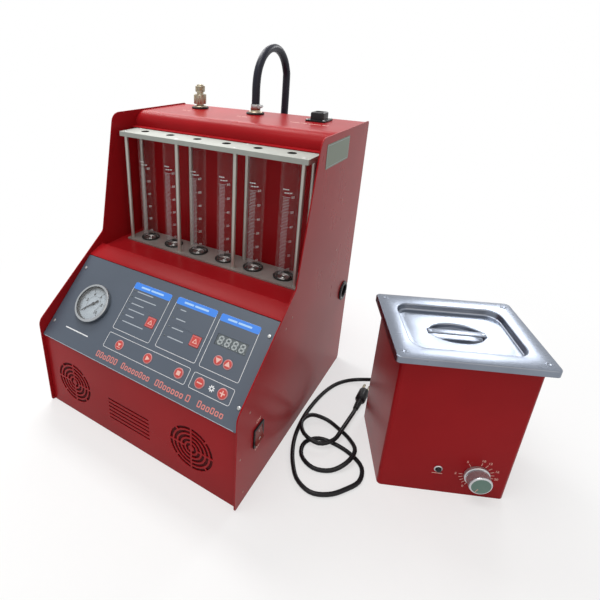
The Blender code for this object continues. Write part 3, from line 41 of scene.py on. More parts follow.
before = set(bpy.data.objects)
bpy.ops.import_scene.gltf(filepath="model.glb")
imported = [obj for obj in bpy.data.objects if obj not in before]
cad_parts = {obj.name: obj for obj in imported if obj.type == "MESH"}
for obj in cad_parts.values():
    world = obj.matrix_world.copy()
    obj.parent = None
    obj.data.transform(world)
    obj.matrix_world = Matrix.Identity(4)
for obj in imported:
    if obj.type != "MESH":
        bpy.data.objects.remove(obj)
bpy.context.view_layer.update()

MM = 0.001
GAP = 0.3 * MM
SOFT_ANGLE = math.radians(32)
BEVEL_ANGLE = math.radians(40)
CURVE_WELD = 0.001 * MM
NODE_WELD = 0.005 * MM

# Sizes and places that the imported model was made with
FRONT = -208.5 * MM
SIDE_FACE = 200 * MM
PANEL_FOOT = (0, FRONT + 2.2 * MM, 145 * MM)
PANEL_TILT = math.radians(42.1)
TUBE_DEPTH = 229.2 * MM
TUBE_PLACES = [(n - 2.5) * 58 * MM for n in range(6)]
FITTING_DEPTH = 375 * MM
FITTING_PLACES = (-129 * MM, -2 * MM, 125 * MM)
FITTING_BASE = 495.8 * MM
SWITCH_PLACE = (FRONT + 59.5 * MM, 96.5 * MM)
INLET_PLACE = (FRONT + 388 * MM, 178 * MM)
BATH_PLACE = (440 * MM, -12 * MM, 0)
BATH_DEPTH = 142 * MM
BATH_TURN = math.radians(25)

X_AXIS = Vector((1, 0, 0))
Y_AXIS = Vector((0, 1, 0))
Z_AXIS = Vector((0, 0, 1))


def placed(origin, x_axis=X_AXIS, y_axis=Y_AXIS):
    """Matrix of a frame at origin whose third axis is square to the two given."""
    matrix = Matrix((x_axis, y_axis, x_axis.cross(y_axis))).transposed().to_4x4()
    matrix.translation = Vector(origin)
    return matrix


SLOPE_UP = Vector((0, math.cos(PANEL_TILT), math.sin(PANEL_TILT)))
PANEL = placed(PANEL_FOOT, X_AXIS, SLOPE_UP)
BATH_RIGHT = Vector((math.cos(BATH_TURN), math.sin(BATH_TURN), 0))
BATH_BACK = Vector((-math.sin(BATH_TURN), math.cos(BATH_TURN), 0))
BATH = placed(BATH_PLACE, BATH_RIGHT, BATH_BACK)


def on_panel(across, up, lift=0.0):
    """Frame on the control plate, in millimetres across and up, third axis out of its face."""
    return PANEL @ Matrix.Translation((across * MM, up * MM, lift * MM))


def on_bath_front(across, height):
    """Frame on the bath's front, in millimetres, third axis out of its face."""
    return placed(BATH @ Vector((across * MM, 0, height * MM)), BATH_RIGHT, Z_AXIS)


def on_side(y, z, lift=0.0):
    """Frame on the outside of the right side plate: first axis back, second up, third out."""
    return placed((SIDE_FACE + lift, y, z), Y_AXIS, Z_AXIS)


def on_cover(fitting, height=0.0):
    """Frame at one of the three top fittings, at a height in metres over the bench."""
    return placed((FITTING_PLACES[fitting], FRONT + FITTING_DEPTH, height))


class Signal:
    """Output of a shader node; sums and products of it add the nodes they need."""

    def __init__(self, nodes, socket):
        self.nodes = nodes
        self.socket = socket

    def math(self, operation, first, second):
        return self.nodes.math(operation, first, second)

    def __add__(self, other):
        return self.math("ADD", self, other)

    def __radd__(self, other):
        return self.math("ADD", other, self)

    def __sub__(self, other):
        return self.math("SUBTRACT", self, other)

    def __rsub__(self, other):
        return self.math("SUBTRACT", other, self)

    def __mul__(self, other):
        return self.math("MULTIPLY", self, other)

    def __rmul__(self, other):
        return self.math("MULTIPLY", other, self)

    def __pow__(self, other):
        return self.math("POWER", self, other)

    def ramp(self, low, high):
        """0 up to low, 1 from high, smooth between."""
        return self.nodes.node(
            "ShaderNodeMapRange", {"interpolation_type": "SMOOTHSTEP"}, {0: self, 1: low, 2: high}
        )


class Nodes:
    """Shader nodes of a finish or of the world, with one method that adds any of them."""

    def __init__(self, tree):
        self.tree = tree

    def feed(self, socket, value):
        """Links a signal to a socket, or sets the socket's own value."""
        if isinstance(value, Signal):
            self.tree.links.new(value.socket, socket)
        elif value is not None:
            socket.default_value = value

    def node(self, kind, settings=None, inputs=None, output=0):
        """Adds a node with its settings and inputs, and gives one of its outputs."""
        made = self.tree.nodes.new(kind)
        for name, value in (settings or {}).items():
            setattr(made, name, value)
        for key, value in (inputs or {}).items():
            self.feed(made.inputs[key], value)
        return Signal(self, made.outputs[output])

    def math(self, operation, first, second):
        return self.node("ShaderNodeMath", {"operation": operation}, {0: first, 1: second})

    def seen(self):
        """1 where the camera looks, straight, through glass or by a mirror, and 0 for other light."""
        rays = self.node("ShaderNodeLightPath").socket.node.outputs
        straight, through, mirrored = (
            Signal(self, rays[f"Is {kind} Ray"]) for kind in ("Camera", "Transmission", "Glossy")
        )
        return self.math("MAXIMUM", self.math("MAXIMUM", straight, through), mirrored)

    def mixed(self, share, first, second, end):
        """Leads a mix of two shaders, the first one a shader node, to the node at the tree's end."""
        mix = self.node("ShaderNodeMixShader", None, {0: share, 1: Signal(self, first.outputs[0]), 2: second})
        self.feed(self.tree.nodes[end].inputs["Surface"], mix)


class Finish(Nodes):
    """A material in the making."""

    def __init__(self, name):
        self.material = bpy.data.materials.new(name)
        self.material.use_nodes = True
        super().__init__(self.material.node_tree)
        self.shader = self.tree.nodes["Principled BSDF"]

    def place(self, stretch=(1, 1, 1), turn=(0, 0, 0)):
        """Object coordinates in a frame turned by turn, then stretched."""
        spot = self.node("ShaderNodeTexCoord", output=3)
        shrink = tuple(1 / share for share in stretch)
        return self.node("ShaderNodeMapping", {"vector_type": "TEXTURE"}, {0: spot, 2: turn, 3: shrink})

    def noise(self, scale, detail=2.0, rough=0.5, spot=None):
        """Noise from 0 to 1 in object coordinates."""
        return self.node(
            "ShaderNodeTexNoise", None,
            {"Vector": spot or self.place(), "Scale": scale, "Detail": detail, "Roughness": rough},
        )

    def blend(self, share, first, second):
        """Colour between two colours."""
        first, second = [(*c, 1) if isinstance(c, (tuple, list)) else c for c in (first, second)]
        return self.node(
            "ShaderNodeMix", {"data_type": "RGBA"}, {0: share, 6: first, 7: second}, output=2
        )

    def bump(self, height, strength, distance, normal=None):
        """Normal bent by a height."""
        return self.node(
            "ShaderNodeBump", None,
            {"Height": height, "Strength": strength, "Distance": distance, "Normal": normal},
        )

    def set(self, **values):
        """Values or signals on the shader's own sockets, named with underscores."""
        for name, value in values.items():
            socket = self.shader.inputs[name.replace("_", " ")]
            if isinstance(value, tuple) and len(value) == 3:
                value = (*value, 1)
            self.feed(socket, value)
        return self.material


finishes = {}


def finish(name):
    """The named finish, made once by its own function."""
    if name not in finishes:
        finishes[name] = MAKERS[name](Finish(name))
    return finishes[name]


def shaded(colour, share):
    """Colour times a share, kept within 0 to 1."""
    return tuple(min(1.0, part * share) for part in colour)


def powder_coat(made):
    """Glossy red powder coat: shallow orange peel, faint blotches and a little dust."""
    red = tuple(bpy.context.scene.tester_colours.paint)
    blotch = made.noise(5.0, 3.0, 0.6)
    peel = made.noise(620.0, 2.0, 0.45)
    dust = made.noise(900.0, 2.0, 0.5).ramp(0.70, 0.80)
    smear = made.noise(7.0, 4.0, 0.6, made.place((1, 1, 0.5)))
    base = made.blend(blotch.ramp(0.3, 0.7), shaded(red, 0.92), shaded(red, 1.07))
    base = made.blend(dust * 0.08, base, (0.62, 0.42, 0.38))
    return made.set(
        Base_Color=base,
        Roughness=0.24 + smear * 0.10 + dust * 0.15,
        Specular_IOR_Level=0.10,
        Specular_Tint=(1.0, 0.60, 0.58),
        Normal=made.bump(peel, 0.07, 0.22 * MM),
    )


def slate_sheet(made):
    """Matt slate print on the control plate, with a fine film grain and light rub marks."""
    slate = tuple(bpy.context.scene.tester_colours.plate)
    grain = made.noise(1900.0, 2.0, 0.5)
    cloud = made.noise(9.0, 4.0, 0.6)
    rub = made.noise(26.0, 5.0, 0.7, made.place((0.3, 1, 1))).ramp(0.60, 0.78)
    base = made.blend(cloud, shaded(slate, 0.90), shaded(slate, 1.10))
    base = made.blend(rub * 0.10, base, shaded(slate, 1.9))
    return made.set(
        Base_Color=base, Roughness=0.36 + grain * 0.10 + rub * 0.08, Specular_IOR_Level=0.45,
        Normal=made.bump(grain, 0.10, 0.05 * MM),
    )


def flat_ink(colour):
    """Screen-printed ink of one colour, slightly uneven."""
    def make(made):
        patch = made.noise(700.0, 3.0, 0.6)
        base = made.blend(patch, shaded(colour, 0.90), shaded(colour, 1.04))
        return made.set(
            Base_Color=base, Roughness=0.42 + patch * 0.12, Normal=made.bump(patch, 0.12, 0.03 * MM)
        )
    return make


def drawn_metal(colour, roughness, stretch, scale=900.0, depth=0.04, stain=0.12, metallic=1.0, turn=0.0):
    """Metal with fine lines along one direction, turned about Z, and faint stains."""
    def make(made):
        lines = made.noise(scale, 3.0, 0.7, made.place(stretch, (0, 0, turn)))
        cloud = made.noise(14.0, 4.0, 0.62)
        base = made.blend(cloud.ramp(0.35, 0.75), shaded(colour, 1.0), shaded(colour, 1 - stain))
        base = made.blend(lines * 0.30, base, shaded(colour, 0.82))
        return made.set(
            Base_Color=base, Metallic=metallic, Roughness=roughness + lines * 0.12 + cloud * 0.06,
            Normal=made.bump(lines, 0.22, depth * MM),
        )
    return make


def worn_plating(made):
    """Nickel on brass, rubbed through to the brass on its high places."""
    wear = made.noise(240.0, 5.0, 0.68).ramp(0.50, 0.66)
    pits = made.noise(1400.0, 2.0, 0.5)
    base = made.blend(wear, (0.36, 0.325, 0.25), (0.34, 0.24, 0.13))
    return made.set(
        Base_Color=base, Metallic=1.0, Roughness=0.24 + pits * 0.14 + wear * 0.08,
        Normal=made.bump(pits, 0.10, 0.04 * MM),
    )


def moulded(colour, roughness, grain=1500.0, depth=0.05, fade=0.10):
    """Moulded plastic or rubber with a fine grain and faint rub marks."""
    def make(made):
        skin = made.noise(grain, 3.0, 0.55)
        rub = made.noise(40.0, 5.0, 0.7).ramp(0.52, 0.76)
        lighter = tuple(min(1.0, part * 1.5 + 0.015) for part in colour)
        base = made.blend(rub * fade, made.blend(skin, colour, shaded(colour, 1.15)), lighter)
        return made.set(
            Base_Color=base, Roughness=roughness + skin * 0.10 - rub * 0.05, Specular_IOR_Level=0.2,
            Normal=made.bump(skin, 0.30, depth * MM),
        )
    return make


def clear_glass(made):
    """Clear tube glass with upright draw lines and dry drops, grey-white towards its outline by painted
    reflection.
    """
    lines = made.noise(170.0, 2.0, 0.6, made.place((1, 1, 0.02)))
    haze = made.noise(40.0, 4.0, 0.6, made.place((1, 1, 0.4)))
    drops = made.noise(240.0, 2.0, 0.5).ramp(0.70, 0.76)
    # Facing weight: the pale colour and opacity it brings towards the outline are a painted reflection, not a
    # tint of the glass.
    edge = made.node("ShaderNodeLayerWeight", None, {"Blend": 0.30}, output=1)
    return made.set(
        Base_Color=made.blend(edge.ramp(0.2, 0.7), (0.34, 0.30, 0.29), (0.80, 0.80, 0.78)),
        Roughness=0.03 + drops * 0.25 + haze * 0.04,
        Specular_IOR_Level=1.0,
        Alpha=0.012 + edge ** 2.0 * 0.34 + haze * 0.015 + lines.ramp(0.58, 0.75) * 0.07 + drops * 0.06,
        Normal=made.bump(lines, 0.05, 0.10 * MM),
    )


def lens_glass(made):
    """Thin flat window glass with a trace of dust, and a painted reflection that makes it whiter towards
    glancing angles.
    """
    dust = made.noise(420.0, 3.0, 0.6).ramp(0.60, 0.80)
    # Facing weight: the opacity it adds towards glancing angles is a painted reflection on the lens.
    edge = made.node("ShaderNodeLayerWeight", None, {"Blend": 0.30}, output=1)
    return made.set(
        Base_Color=made.blend(dust, (0.80, 0.84, 0.86), (0.95, 0.95, 0.94)), Roughness=0.03 + dust * 0.10,
        Specular_IOR_Level=0.6, Alpha=0.05 + edge * 0.10 + dust * 0.05,
    )


def smoked_window(made):
    """Smoked display window, glossy with faint smudges."""
    smudge = made.noise(90.0, 4.0, 0.6)
    base = made.blend(smudge, (0.075, 0.092, 0.102), (0.095, 0.112, 0.120))
    return made.set(Base_Color=base, Roughness=0.22 + smudge * 0.10)


def solder_mask(made):
    """Green circuit board with fine tracks in its mask."""
    weave = made.node(
        "ShaderNodeTexBrick", {"offset": 0.37},
        {
            "Vector": made.place((1, 1, 1), (PANEL_TILT, 0, 0)), "Scale": 180.0,
            "Mortar Size": 0.06, "Color1": (0.02, 0.16, 0.07, 1), "Color2": (0.025, 0.20, 0.09, 1),
            "Mortar": (0.05, 0.30, 0.13, 1),
        },
    )
    grain = made.noise(1200.0)
    return made.set(
        Base_Color=weave, Roughness=0.35 + grain * 0.15, Normal=made.bump(grain, 0.15, 0.05 * MM)
    )


MAKERS = {
    "red_powder_coat": powder_coat,
    "slate_print": slate_sheet,
    "white_ink": flat_ink((0.78, 0.80, 0.82)),
    "pale_ink": flat_ink((0.42, 0.47, 0.52)),
    "blue_ink": flat_ink((0.045, 0.24, 0.82)),
    "rose_ink": flat_ink((0.80, 0.47, 0.41)),
    "rim_ink": flat_ink((0.54, 0.26, 0.27)),
    "sky_ink": flat_ink((0.40, 0.63, 0.93)),
    "title_ink": flat_ink((0.66, 0.215, 0.19)),
    "black_ink": flat_ink((0.02, 0.02, 0.022)),
    "label_film": flat_ink((0.175, 0.215, 0.165)),
    "cream_ink": flat_ink((0.74, 0.40, 0.34)),
    "anodised_aluminium": drawn_metal((0.36, 0.38, 0.35), 0.52, (0.03, 1, 1), 1100.0, 0.03, 0.12, 0.35),
    "drawn_rod": drawn_metal((0.46, 0.46, 0.42), 0.30, (1, 1, 0.03), 1400.0, 0.02, 0.12, 0.6),
    "grey_sheet": drawn_metal((0.36, 0.33, 0.31), 0.42, (0.05, 1, 1), 700.0, 0.04, 0.3, 0.5),
    "pressed_stainless": drawn_metal(
        (0.235, 0.262, 0.315), 0.20, (0.06, 1, 1), 700.0, 0.02, 0.16, 1.0, BATH_TURN
    ),
    "drain_steel": drawn_metal((0.46, 0.45, 0.44), 0.26, (1, 1, 1), 600.0, 0.03, 0.15),
    "tank_steel": drawn_metal((0.52, 0.53, 0.54), 0.34, (1, 1, 0.06), 700.0, 0.02, 0.12, 0.75),
    "bright_bezel": drawn_metal((0.42, 0.44, 0.46), 0.14, (1, 1, 1), 600.0, 0.03, 0.12),
    "turned_steel": drawn_metal((0.60, 0.61, 0.63), 0.20, (1, 1, 1), 600.0, 0.03, 0.10, 0.8),
    "zinc_screw": drawn_metal((0.46, 0.47, 0.47), 0.28, (1, 1, 1), 900.0, 0.03, 0.25),
    "painted_rivet": drawn_metal((0.42, 0.21, 0.19), 0.30, (1, 1, 1), 900.0, 0.03, 0.2, 0.5),
    "worn_nickel": worn_plating,
    "tube_glass": clear_glass,
    "window_glass": lens_glass,
    "hose_rubber": moulded((0.013, 0.014, 0.024), 0.30, 900.0, 0.05, 0.25),
    "lead_rubber": moulded((0.011, 0.011, 0.013), 0.30, 1200.0, 0.04, 0.2),
    "black_plastic": moulded((0.013, 0.013, 0.015), 0.30, 1700.0, 0.04, 0.15),
    # Dark red sheet behind the vent holes: painted shade of the cabinet's inside.
    "vent_shade_sheet": moulded((0.085, 0.008, 0.010), 0.8, 700.0, 0.2, 0.1),
    "seal_rubber": moulded((0.022, 0.021, 0.021), 0.55, 1300.0, 0.05, 0.2),
    "key_plastic": moulded((0.50, 0.070, 0.062), 0.38, 1900.0, 0.03, 0.10),
    "rocker_plastic": moulded((0.20, 0.030, 0.024), 0.24, 1600.0, 0.03, 0.10),
    "dial_card": flat_ink((0.43, 0.49, 0.54)),
    "seal_brown": moulded((0.20, 0.050, 0.035), 0.5, 1300.0, 0.05, 0.2),
    "knob_face": drawn_metal((0.13, 0.215, 0.18), 0.34, (1, 1, 0.05), 500.0, 0.03, 0.25, 0.6),
    "smoked_window": smoked_window,
    "digit_grey": flat_ink((0.36, 0.40, 0.41)),
    "solder_mask": solder_mask,
}


def mesh_of(work):
    """Mesh of a finished bmesh, smooth except at its edges."""
    bmesh.ops.recalc_face_normals(work, faces=work.faces)
    mesh = bpy.data.meshes.new("form")
    work.to_mesh(mesh)
    work.free()
    mesh.shade_smooth()
    mesh.set_sharp_from_angle(angle=SOFT_ANGLE)
    return mesh


def polar(radius, turn):
    """Point on a circle round the middle, its turn in radians."""
    return radius * math.cos(turn), radius * math.sin(turn)


def toothed(count, *tooth):
    """Outline of equal teeth, each drawn by (share of the pitch, radius) points."""
    return [polar(radius, math.tau * (i + share) / count) for i in range(count) for share, radius in tooth]


def tick(inner, outer, width):
    """Outline of a straight mark that lies along a radius."""
    return [(inner, -width / 2), (outer, -width / 2), (outer, width / 2), (inner, width / 2)]


def turned(profile, steps=64, ring=False):
    """Form turned about Z from (radius, height) points in millimetres; ring closes the profile."""
    work = bmesh.new()
    rings = []
    for radius, height in profile:
        count = steps if radius > 0 else 1
        rings.append([
            work.verts.new((*polar(radius * MM, math.tau * i / steps), height * MM)) for i in range(count)
        ])
    bands = list(zip(rings, rings[1:]))
    if ring:
        bands.append((rings[-1], rings[0]))
    for lower, upper in bands:
        for i in range(steps):
            j = (i + 1) % steps
            sides = ((lower, i), (upper, i), (upper, j), (lower, j))
            corners = list(dict.fromkeys(level[k % len(level)] for level, k in sides))
            if len(corners) > 2:
                work.faces.new(corners)
    return mesh_of(work)


def arc(across, up, radius, start, end, steps=6):
    """Points in millimetres on an arc between two angles in degrees."""
    turns = [math.radians(start + (end - start) * i / steps) for i in range(steps + 1)]
    return [(across + radius * math.cos(t), up + radius * math.sin(t)) for t in turns]


def rounded_box(width, height, radius, across=0.0, up=0.0, steps=6):
    """Outline in millimetres of a rectangle with round corners."""
    right, top = across + width / 2 - radius, up + height / 2 - radius
    left, low = across - width / 2 + radius, up - height / 2 + radius
    return (
        arc(right, top, radius, 0, 90, steps) + arc(left, top, radius, 90, 180, steps)
        + arc(left, low, radius, 180, 270, steps) + arc(right, low, radius, 270, 360, steps)
    )


def cut_out(outlines, bottom, top):
    """Flat form of outlines in millimetres between two levels; inner outlines are holes."""
    curve = bpy.data.curves.new("form", "CURVE")
    curve.dimensions = "2D"
    curve.fill_mode = "BOTH"
    curve.extrude = (top - bottom) / 2 * MM
    for outline in outlines:
        spline = curve.splines.new("POLY")
        spline.points.add(len(outline) - 1)
        for point, (x, y) in zip(spline.points, outline):
            point.co = (x * MM, y * MM, 0, 1)
        spline.use_cyclic_u = True
    return from_curve(curve, Matrix.Translation((0, 0, (bottom + top) / 2 * MM)))


def printed(*outlines, level=0.02, thick=0.1):
    """Thin print of outlines, its underside at a level over what carries it."""
    return cut_out(outlines, level, level + thick)


def from_curve(curve, matrix=Matrix()):
    """Welded mesh of a curve or text, moved by a matrix; the curve is only held for it."""
    holder = bpy.data.objects.new("form", curve)
    bpy.context.scene.collection.objects.link(holder)
    seen = holder.evaluated_get(bpy.context.evaluated_depsgraph_get())
    mesh = bpy.data.meshes.new_from_object(seen)
    bpy.data.objects.remove(holder)
    work = bmesh.new()
    work.from_mesh(mesh)
    bpy.data.meshes.remove(mesh)
    bmesh.ops.remove_doubles(work, verts=work.verts, dist=CURVE_WELD)
    work.transform(matrix)
    return mesh_of(work)


def digits(text, size, thickness=0.1, bold=0.0):
    """Printed number or word, centred; its height and how far its strokes are widened in millimetres."""
    curve = bpy.data.curves.new("number", "FONT")
    curve.body = text
    curve.size = size * MM
    curve.resolution_u = 3
    curve.extrude = thickness / 2 * MM
    curve.offset = bold * MM
    curve.align_x = "CENTER"
    curve.align_y = "CENTER"
    return from_curve(curve)


def block(low, high, bevel=0.0):
    """Box between two corners in millimetres with rounded edges."""
    work = bmesh.new()
    bmesh.ops.create_cube(work, size=1)
    size = (Vector(high) - Vector(low)) * MM
    bmesh.ops.scale(work, verts=work.verts, vec=size)
    bmesh.ops.translate(work, verts=work.verts, vec=(Vector(low) + Vector(high)) / 2 * MM)
    if bevel:
        bmesh.ops.bevel(
            work, geom=work.edges[:], offset=bevel * MM, segments=3, profile=0.5, affect="EDGES"
        )
    return mesh_of(work)


def loft(rings):
    """Closed skin over rings of points in metres, each ring with as many points."""
    work = bmesh.new()
    made = [[work.verts.new(point) for point in ring] for ring in rings]
    for lower, upper in zip(made, made[1:]):
        for i in range(len(lower)):
            work.faces.new((lower[i - 1], lower[i], upper[i], upper[i - 1]))
    work.faces.new(made[0])
    work.faces.new(made[-1])
    return mesh_of(work)


def gathered(*parts):
    """One mesh of meshes and (mesh, matrix) pairs, which are used up."""
    work = bmesh.new()
    pairs = [part if isinstance(part, tuple) else (part, Matrix()) for part in parts]
    for mesh, matrix in pairs:
        mesh.transform(matrix)
        work.from_mesh(mesh)
    for mesh in {mesh for mesh, _ in pairs}:
        bpy.data.meshes.remove(mesh)
    return mesh_of(work)


def moved(x=0.0, y=0.0, z=0.0, turn=0.0):
    """Matrix of a move in millimetres after a turn about Z in degrees."""
    return Matrix.Translation((x * MM, y * MM, z * MM)) @ Matrix.Rotation(math.radians(turn), 4, "Z")


def add(name, form, matrix, body, look, replaces=(), bevel=0.0):
    """Piece that rides on a body, with its finish and slot; its form is a mesh, curve or list of parts."""
    mesh = gathered(*form) if isinstance(form, list) else form
    mesh.name = name
    mesh.transform(matrix)
    made = bpy.data.objects.new(name, mesh)
    bpy.context.scene.collection.objects.link(made)
    made.data.materials.append(finish(look))
    if bevel:
        soften(made, bevel)
    bpy.context.view_layer.update()
    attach(made, body)
    if replaces:
        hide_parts(*replaces)
    return made


def soften(piece, width, segments=3):
    """Rounds the edges of a piece by a width in millimetres."""
    step = piece.modifiers.new("soft edges", "BEVEL")
    step.width = width * MM
    step.segments = segments
    step.limit_method = "ANGLE"
    step.angle_limit = BEVEL_ANGLE
    step.harden_normals = False


def dress(look, *nodes, bevel=0.0):
    """Carried-over nodes of the model in a finish, their round faces smooth."""
    for name in nodes:
        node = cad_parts[name]
        node.data.materials.clear()
        node.data.materials.append(finish(look))
        weld = node.modifiers.new("weld", "WELD")
        weld.merge_threshold = NODE_WELD
        if bevel:
            soften(node, bevel, 2)
        smooth = node.modifiers.new("smooth", "WEIGHTED_NORMAL")
        smooth.keep_sharp = False
        node.data.shade_smooth()


def smooth_route(points, spacing):
    """Evenly spaced points on a smooth curve through the given ones."""
    route = [Vector(point) for point in points]
    route = [2 * route[0] - route[1]] + route + [2 * route[-1] - route[-2]]
    fine = []
    for a, b, c, d in zip(route, route[1:], route[2:], route[3:]):
        for step in range(16):
            t = step / 16
            fine.append(
                b + (c - a) * (t / 2)
                + (2 * a - 5 * b + 4 * c - d) * (t * t / 2)
                + (3 * b - a - 3 * c + d) * (t * t * t / 2)
            )
    fine.append(route[-2])
    lengths = [0.0]
    for a, b in zip(fine, fine[1:]):
        lengths.append(lengths[-1] + (b - a).length)
    count = max(2, round(lengths[-1] / spacing))
    spaced = []
    index = 0
    for step in range(count + 1):
        wanted = lengths[-1] * step / count
        while index < len(fine) - 2 and lengths[index + 1] < wanted:
            index += 1
        part = (wanted - lengths[index]) / (lengths[index + 1] - lengths[index])
        spaced.append(fine[index].lerp(fine[index + 1], min(1.0, part)))
    return spaced


def add_cord(name, points, radius, body, look, replaced):
    """Round cord along points as a curve that rides on a body."""
    curve = bpy.data.curves.new(name, "CURVE")
    curve.dimensions = "3D"
    curve.bevel_depth = radius
    curve.bevel_resolution = 5
    curve.use_fill_caps = True
    spline = curve.splines.new("POLY")
    spline.points.add(len(points) - 1)
    for point, spot in zip(spline.points, points):
        point.co = (*spot, 1)
    spline.use_smooth = True
    return add(name, curve, Matrix(), body, look, [replaced])


def route_length(points):
    """Length of a route of straight steps."""
    return sum((b - a).length for a, b in zip(points, points[1:]))


# Lead of the bath from its gland to its plug: points on the floor, and over other strands where it crosses
LEAD_RADIUS = 3.5 * MM
LEAD_FLOOR = LEAD_RADIUS + 2 * GAP
LEAD_OVER = 3 * LEAD_RADIUS + 11 * GAP
LEAD_STRAIGHT = 14 * MM
LEAD_ROUTE = (
    (0.2975, 0.15225, 0.0225), (0.2715, 0.15825, 0.0090), (0.2470, 0.14575, LEAD_FLOOR),
    (0.23075, 0.1235, LEAD_FLOOR), (0.22075, 0.0975, LEAD_FLOOR), (0.2150, 0.07025, LEAD_FLOOR),
    (0.21175, 0.0425, LEAD_FLOOR), (0.2105, 0.0145, LEAD_FLOOR), (0.2120, -0.01325, LEAD_FLOOR),
    (0.2160, -0.04075, LEAD_FLOOR), (0.2240, -0.0675, LEAD_FLOOR), (0.23625, -0.0925, LEAD_FLOOR),
    (0.2535, -0.11425, LEAD_FLOOR), (0.2790, -0.1230, LEAD_FLOOR), (0.30375, -0.1110, LEAD_FLOOR),
    (0.3215, -0.0895, LEAD_FLOOR), (0.33425, -0.0650, LEAD_FLOOR), (0.32925, -0.0385, LEAD_FLOOR),
    (0.3060, -0.0240, LEAD_FLOOR), (0.2785, -0.0190, LEAD_FLOOR), (0.25125, -0.02275, LEAD_FLOOR),
    (0.23475, -0.04425, LEAD_FLOOR), (0.2410, -0.07025, LEAD_FLOOR), (0.2655, -0.08175, LEAD_FLOOR),
    (0.29075, -0.0710, LEAD_FLOOR), (0.30825, -0.04975, 0.0110), (0.3125, -0.02275, LEAD_OVER),
    (0.29675, -0.00025, 0.0085), (0.27375, 0.01525, LEAD_FLOOR), (0.24725, 0.02325, 0.0050),
    (0.22275, 0.01225, 0.0115), (0.21525, -0.01375, LEAD_OVER), (0.23025, -0.03625, LEAD_OVER),
    (0.2570, -0.03925, 0.0115), (0.2760, -0.0205, LEAD_OVER), (0.27975, 0.0070, LEAD_OVER),
    (0.28125, 0.03475, 0.0110),
)
LEAD_SPACING = 7 * MM
PLUG_PLACE = (283 * MM, 70 * MM, 9.5 * MM)
PLUG = placed(PLUG_PLACE, -X_AXIS, Z_AXIS)
GLAND_PLACE = Vector((-55 * MM, BATH_DEPTH, 30 * MM))
GLAND = placed(BATH @ GLAND_PLACE, -BATH_RIGHT, Z_AXIS)
GLAND_REACH = 25.3 * MM
HOSE_RADIUS = 7.5 * MM
HOSE_START = 505.5 * MM
HOSE_LEVEL = 548.5 * MM
HOSE_BEND = 62 * MM
HOSE_DROP = 290 * MM
HOSE_STEPS = 8
HOSE_SPACING = 9 * MM
BAND_SCREW_PLACE = (10.8 * MM, 0, 510.2 * MM)


class TesterColours(bpy.types.PropertyGroup):
    """Colours of the two finishes that cover most of the object."""

    paint: FloatVectorProperty(
        name="Paint", description="Colour of the powder coat on cabinet and bath",
        subtype="COLOR", size=3, min=0, max=1, default=(0.31, 0.0085, 0.012),
    )
    plate: FloatVectorProperty(
        name="Control plate", description="Colour of the printed film on the control plate",
        subtype="COLOR", size=3, min=0, max=1, default=(0.074, 0.093, 0.124),
    )


class TesterSizes(bpy.types.PropertyGroup):
    """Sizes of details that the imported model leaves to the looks."""

    edge: FloatProperty(
        name="Sheet edge", description="Rounding of the sheet metal's edges in millimetres",
        min=0.05, max=0.6, default=0.35,
    )
    knurls: IntProperty(
        name="Knurls", description="Number of ridges round the timer knob", min=24, max=120, default=72
    )
    knurl_depth: FloatProperty(
        name="Knurl depth", description="Depth of a ridge on the timer knob in millimetres",
        min=0.1, max=1.0, default=0.45,
    )
    graduation: FloatProperty(
        name="Millilitre", description="Height in millimetres of one millilitre in a measuring tube",
        min=1.0, max=4.0, default=2.42,
    )


# Camera of the photograph, found from the cabinet's outlines
CAMERA_PLACE = (0.41987, -0.58546, 0.61090)
CAMERA_YAW, CAMERA_PITCH, CAMERA_ROLL = 0.557, 0.3951, 0.0216
CAMERA_LENS = 26.909
CAMERA_SHIFT = (0.11398, -0.11033)
FLOOR_SIZE = 9
FLOOR_DROP = 0.2 * MM
FLOOR_CENTRE = (0.15, 0.05, 0)
# Name, place, target, power, size and colour of each light
LIGHTS = (
    ("key_light", (-0.1, -0.6, 2.3), (0.15, 0, 0.25), 24, (1.3, 1.3), (1.0, 0.99, 0.97)),
    ("fill_light", (1.8, -1.3, 1.2), (0.15, 0, 0.25), 6, (1.6, 1.6), (1.0, 0.80, 0.58)),
    ("roll_light", (-0.65, 0.34, 1.50), (-0.65, -0.02, 0.45), 13, (0.9, 0.40), (1.0, 0.99, 0.98)),
    ("cover_light", (-0.85, 1.0, 1.25), (-0.1, 0.1, 0.45), 7, (1.1, 0.6), (1.0, 0.99, 0.98)),
    ("lid_light", (0.44, 1.30, 1.02), (0.40, 0, 0.20), 3.6, (0.35, 0.35), (0.97, 0.98, 1.0)),
)


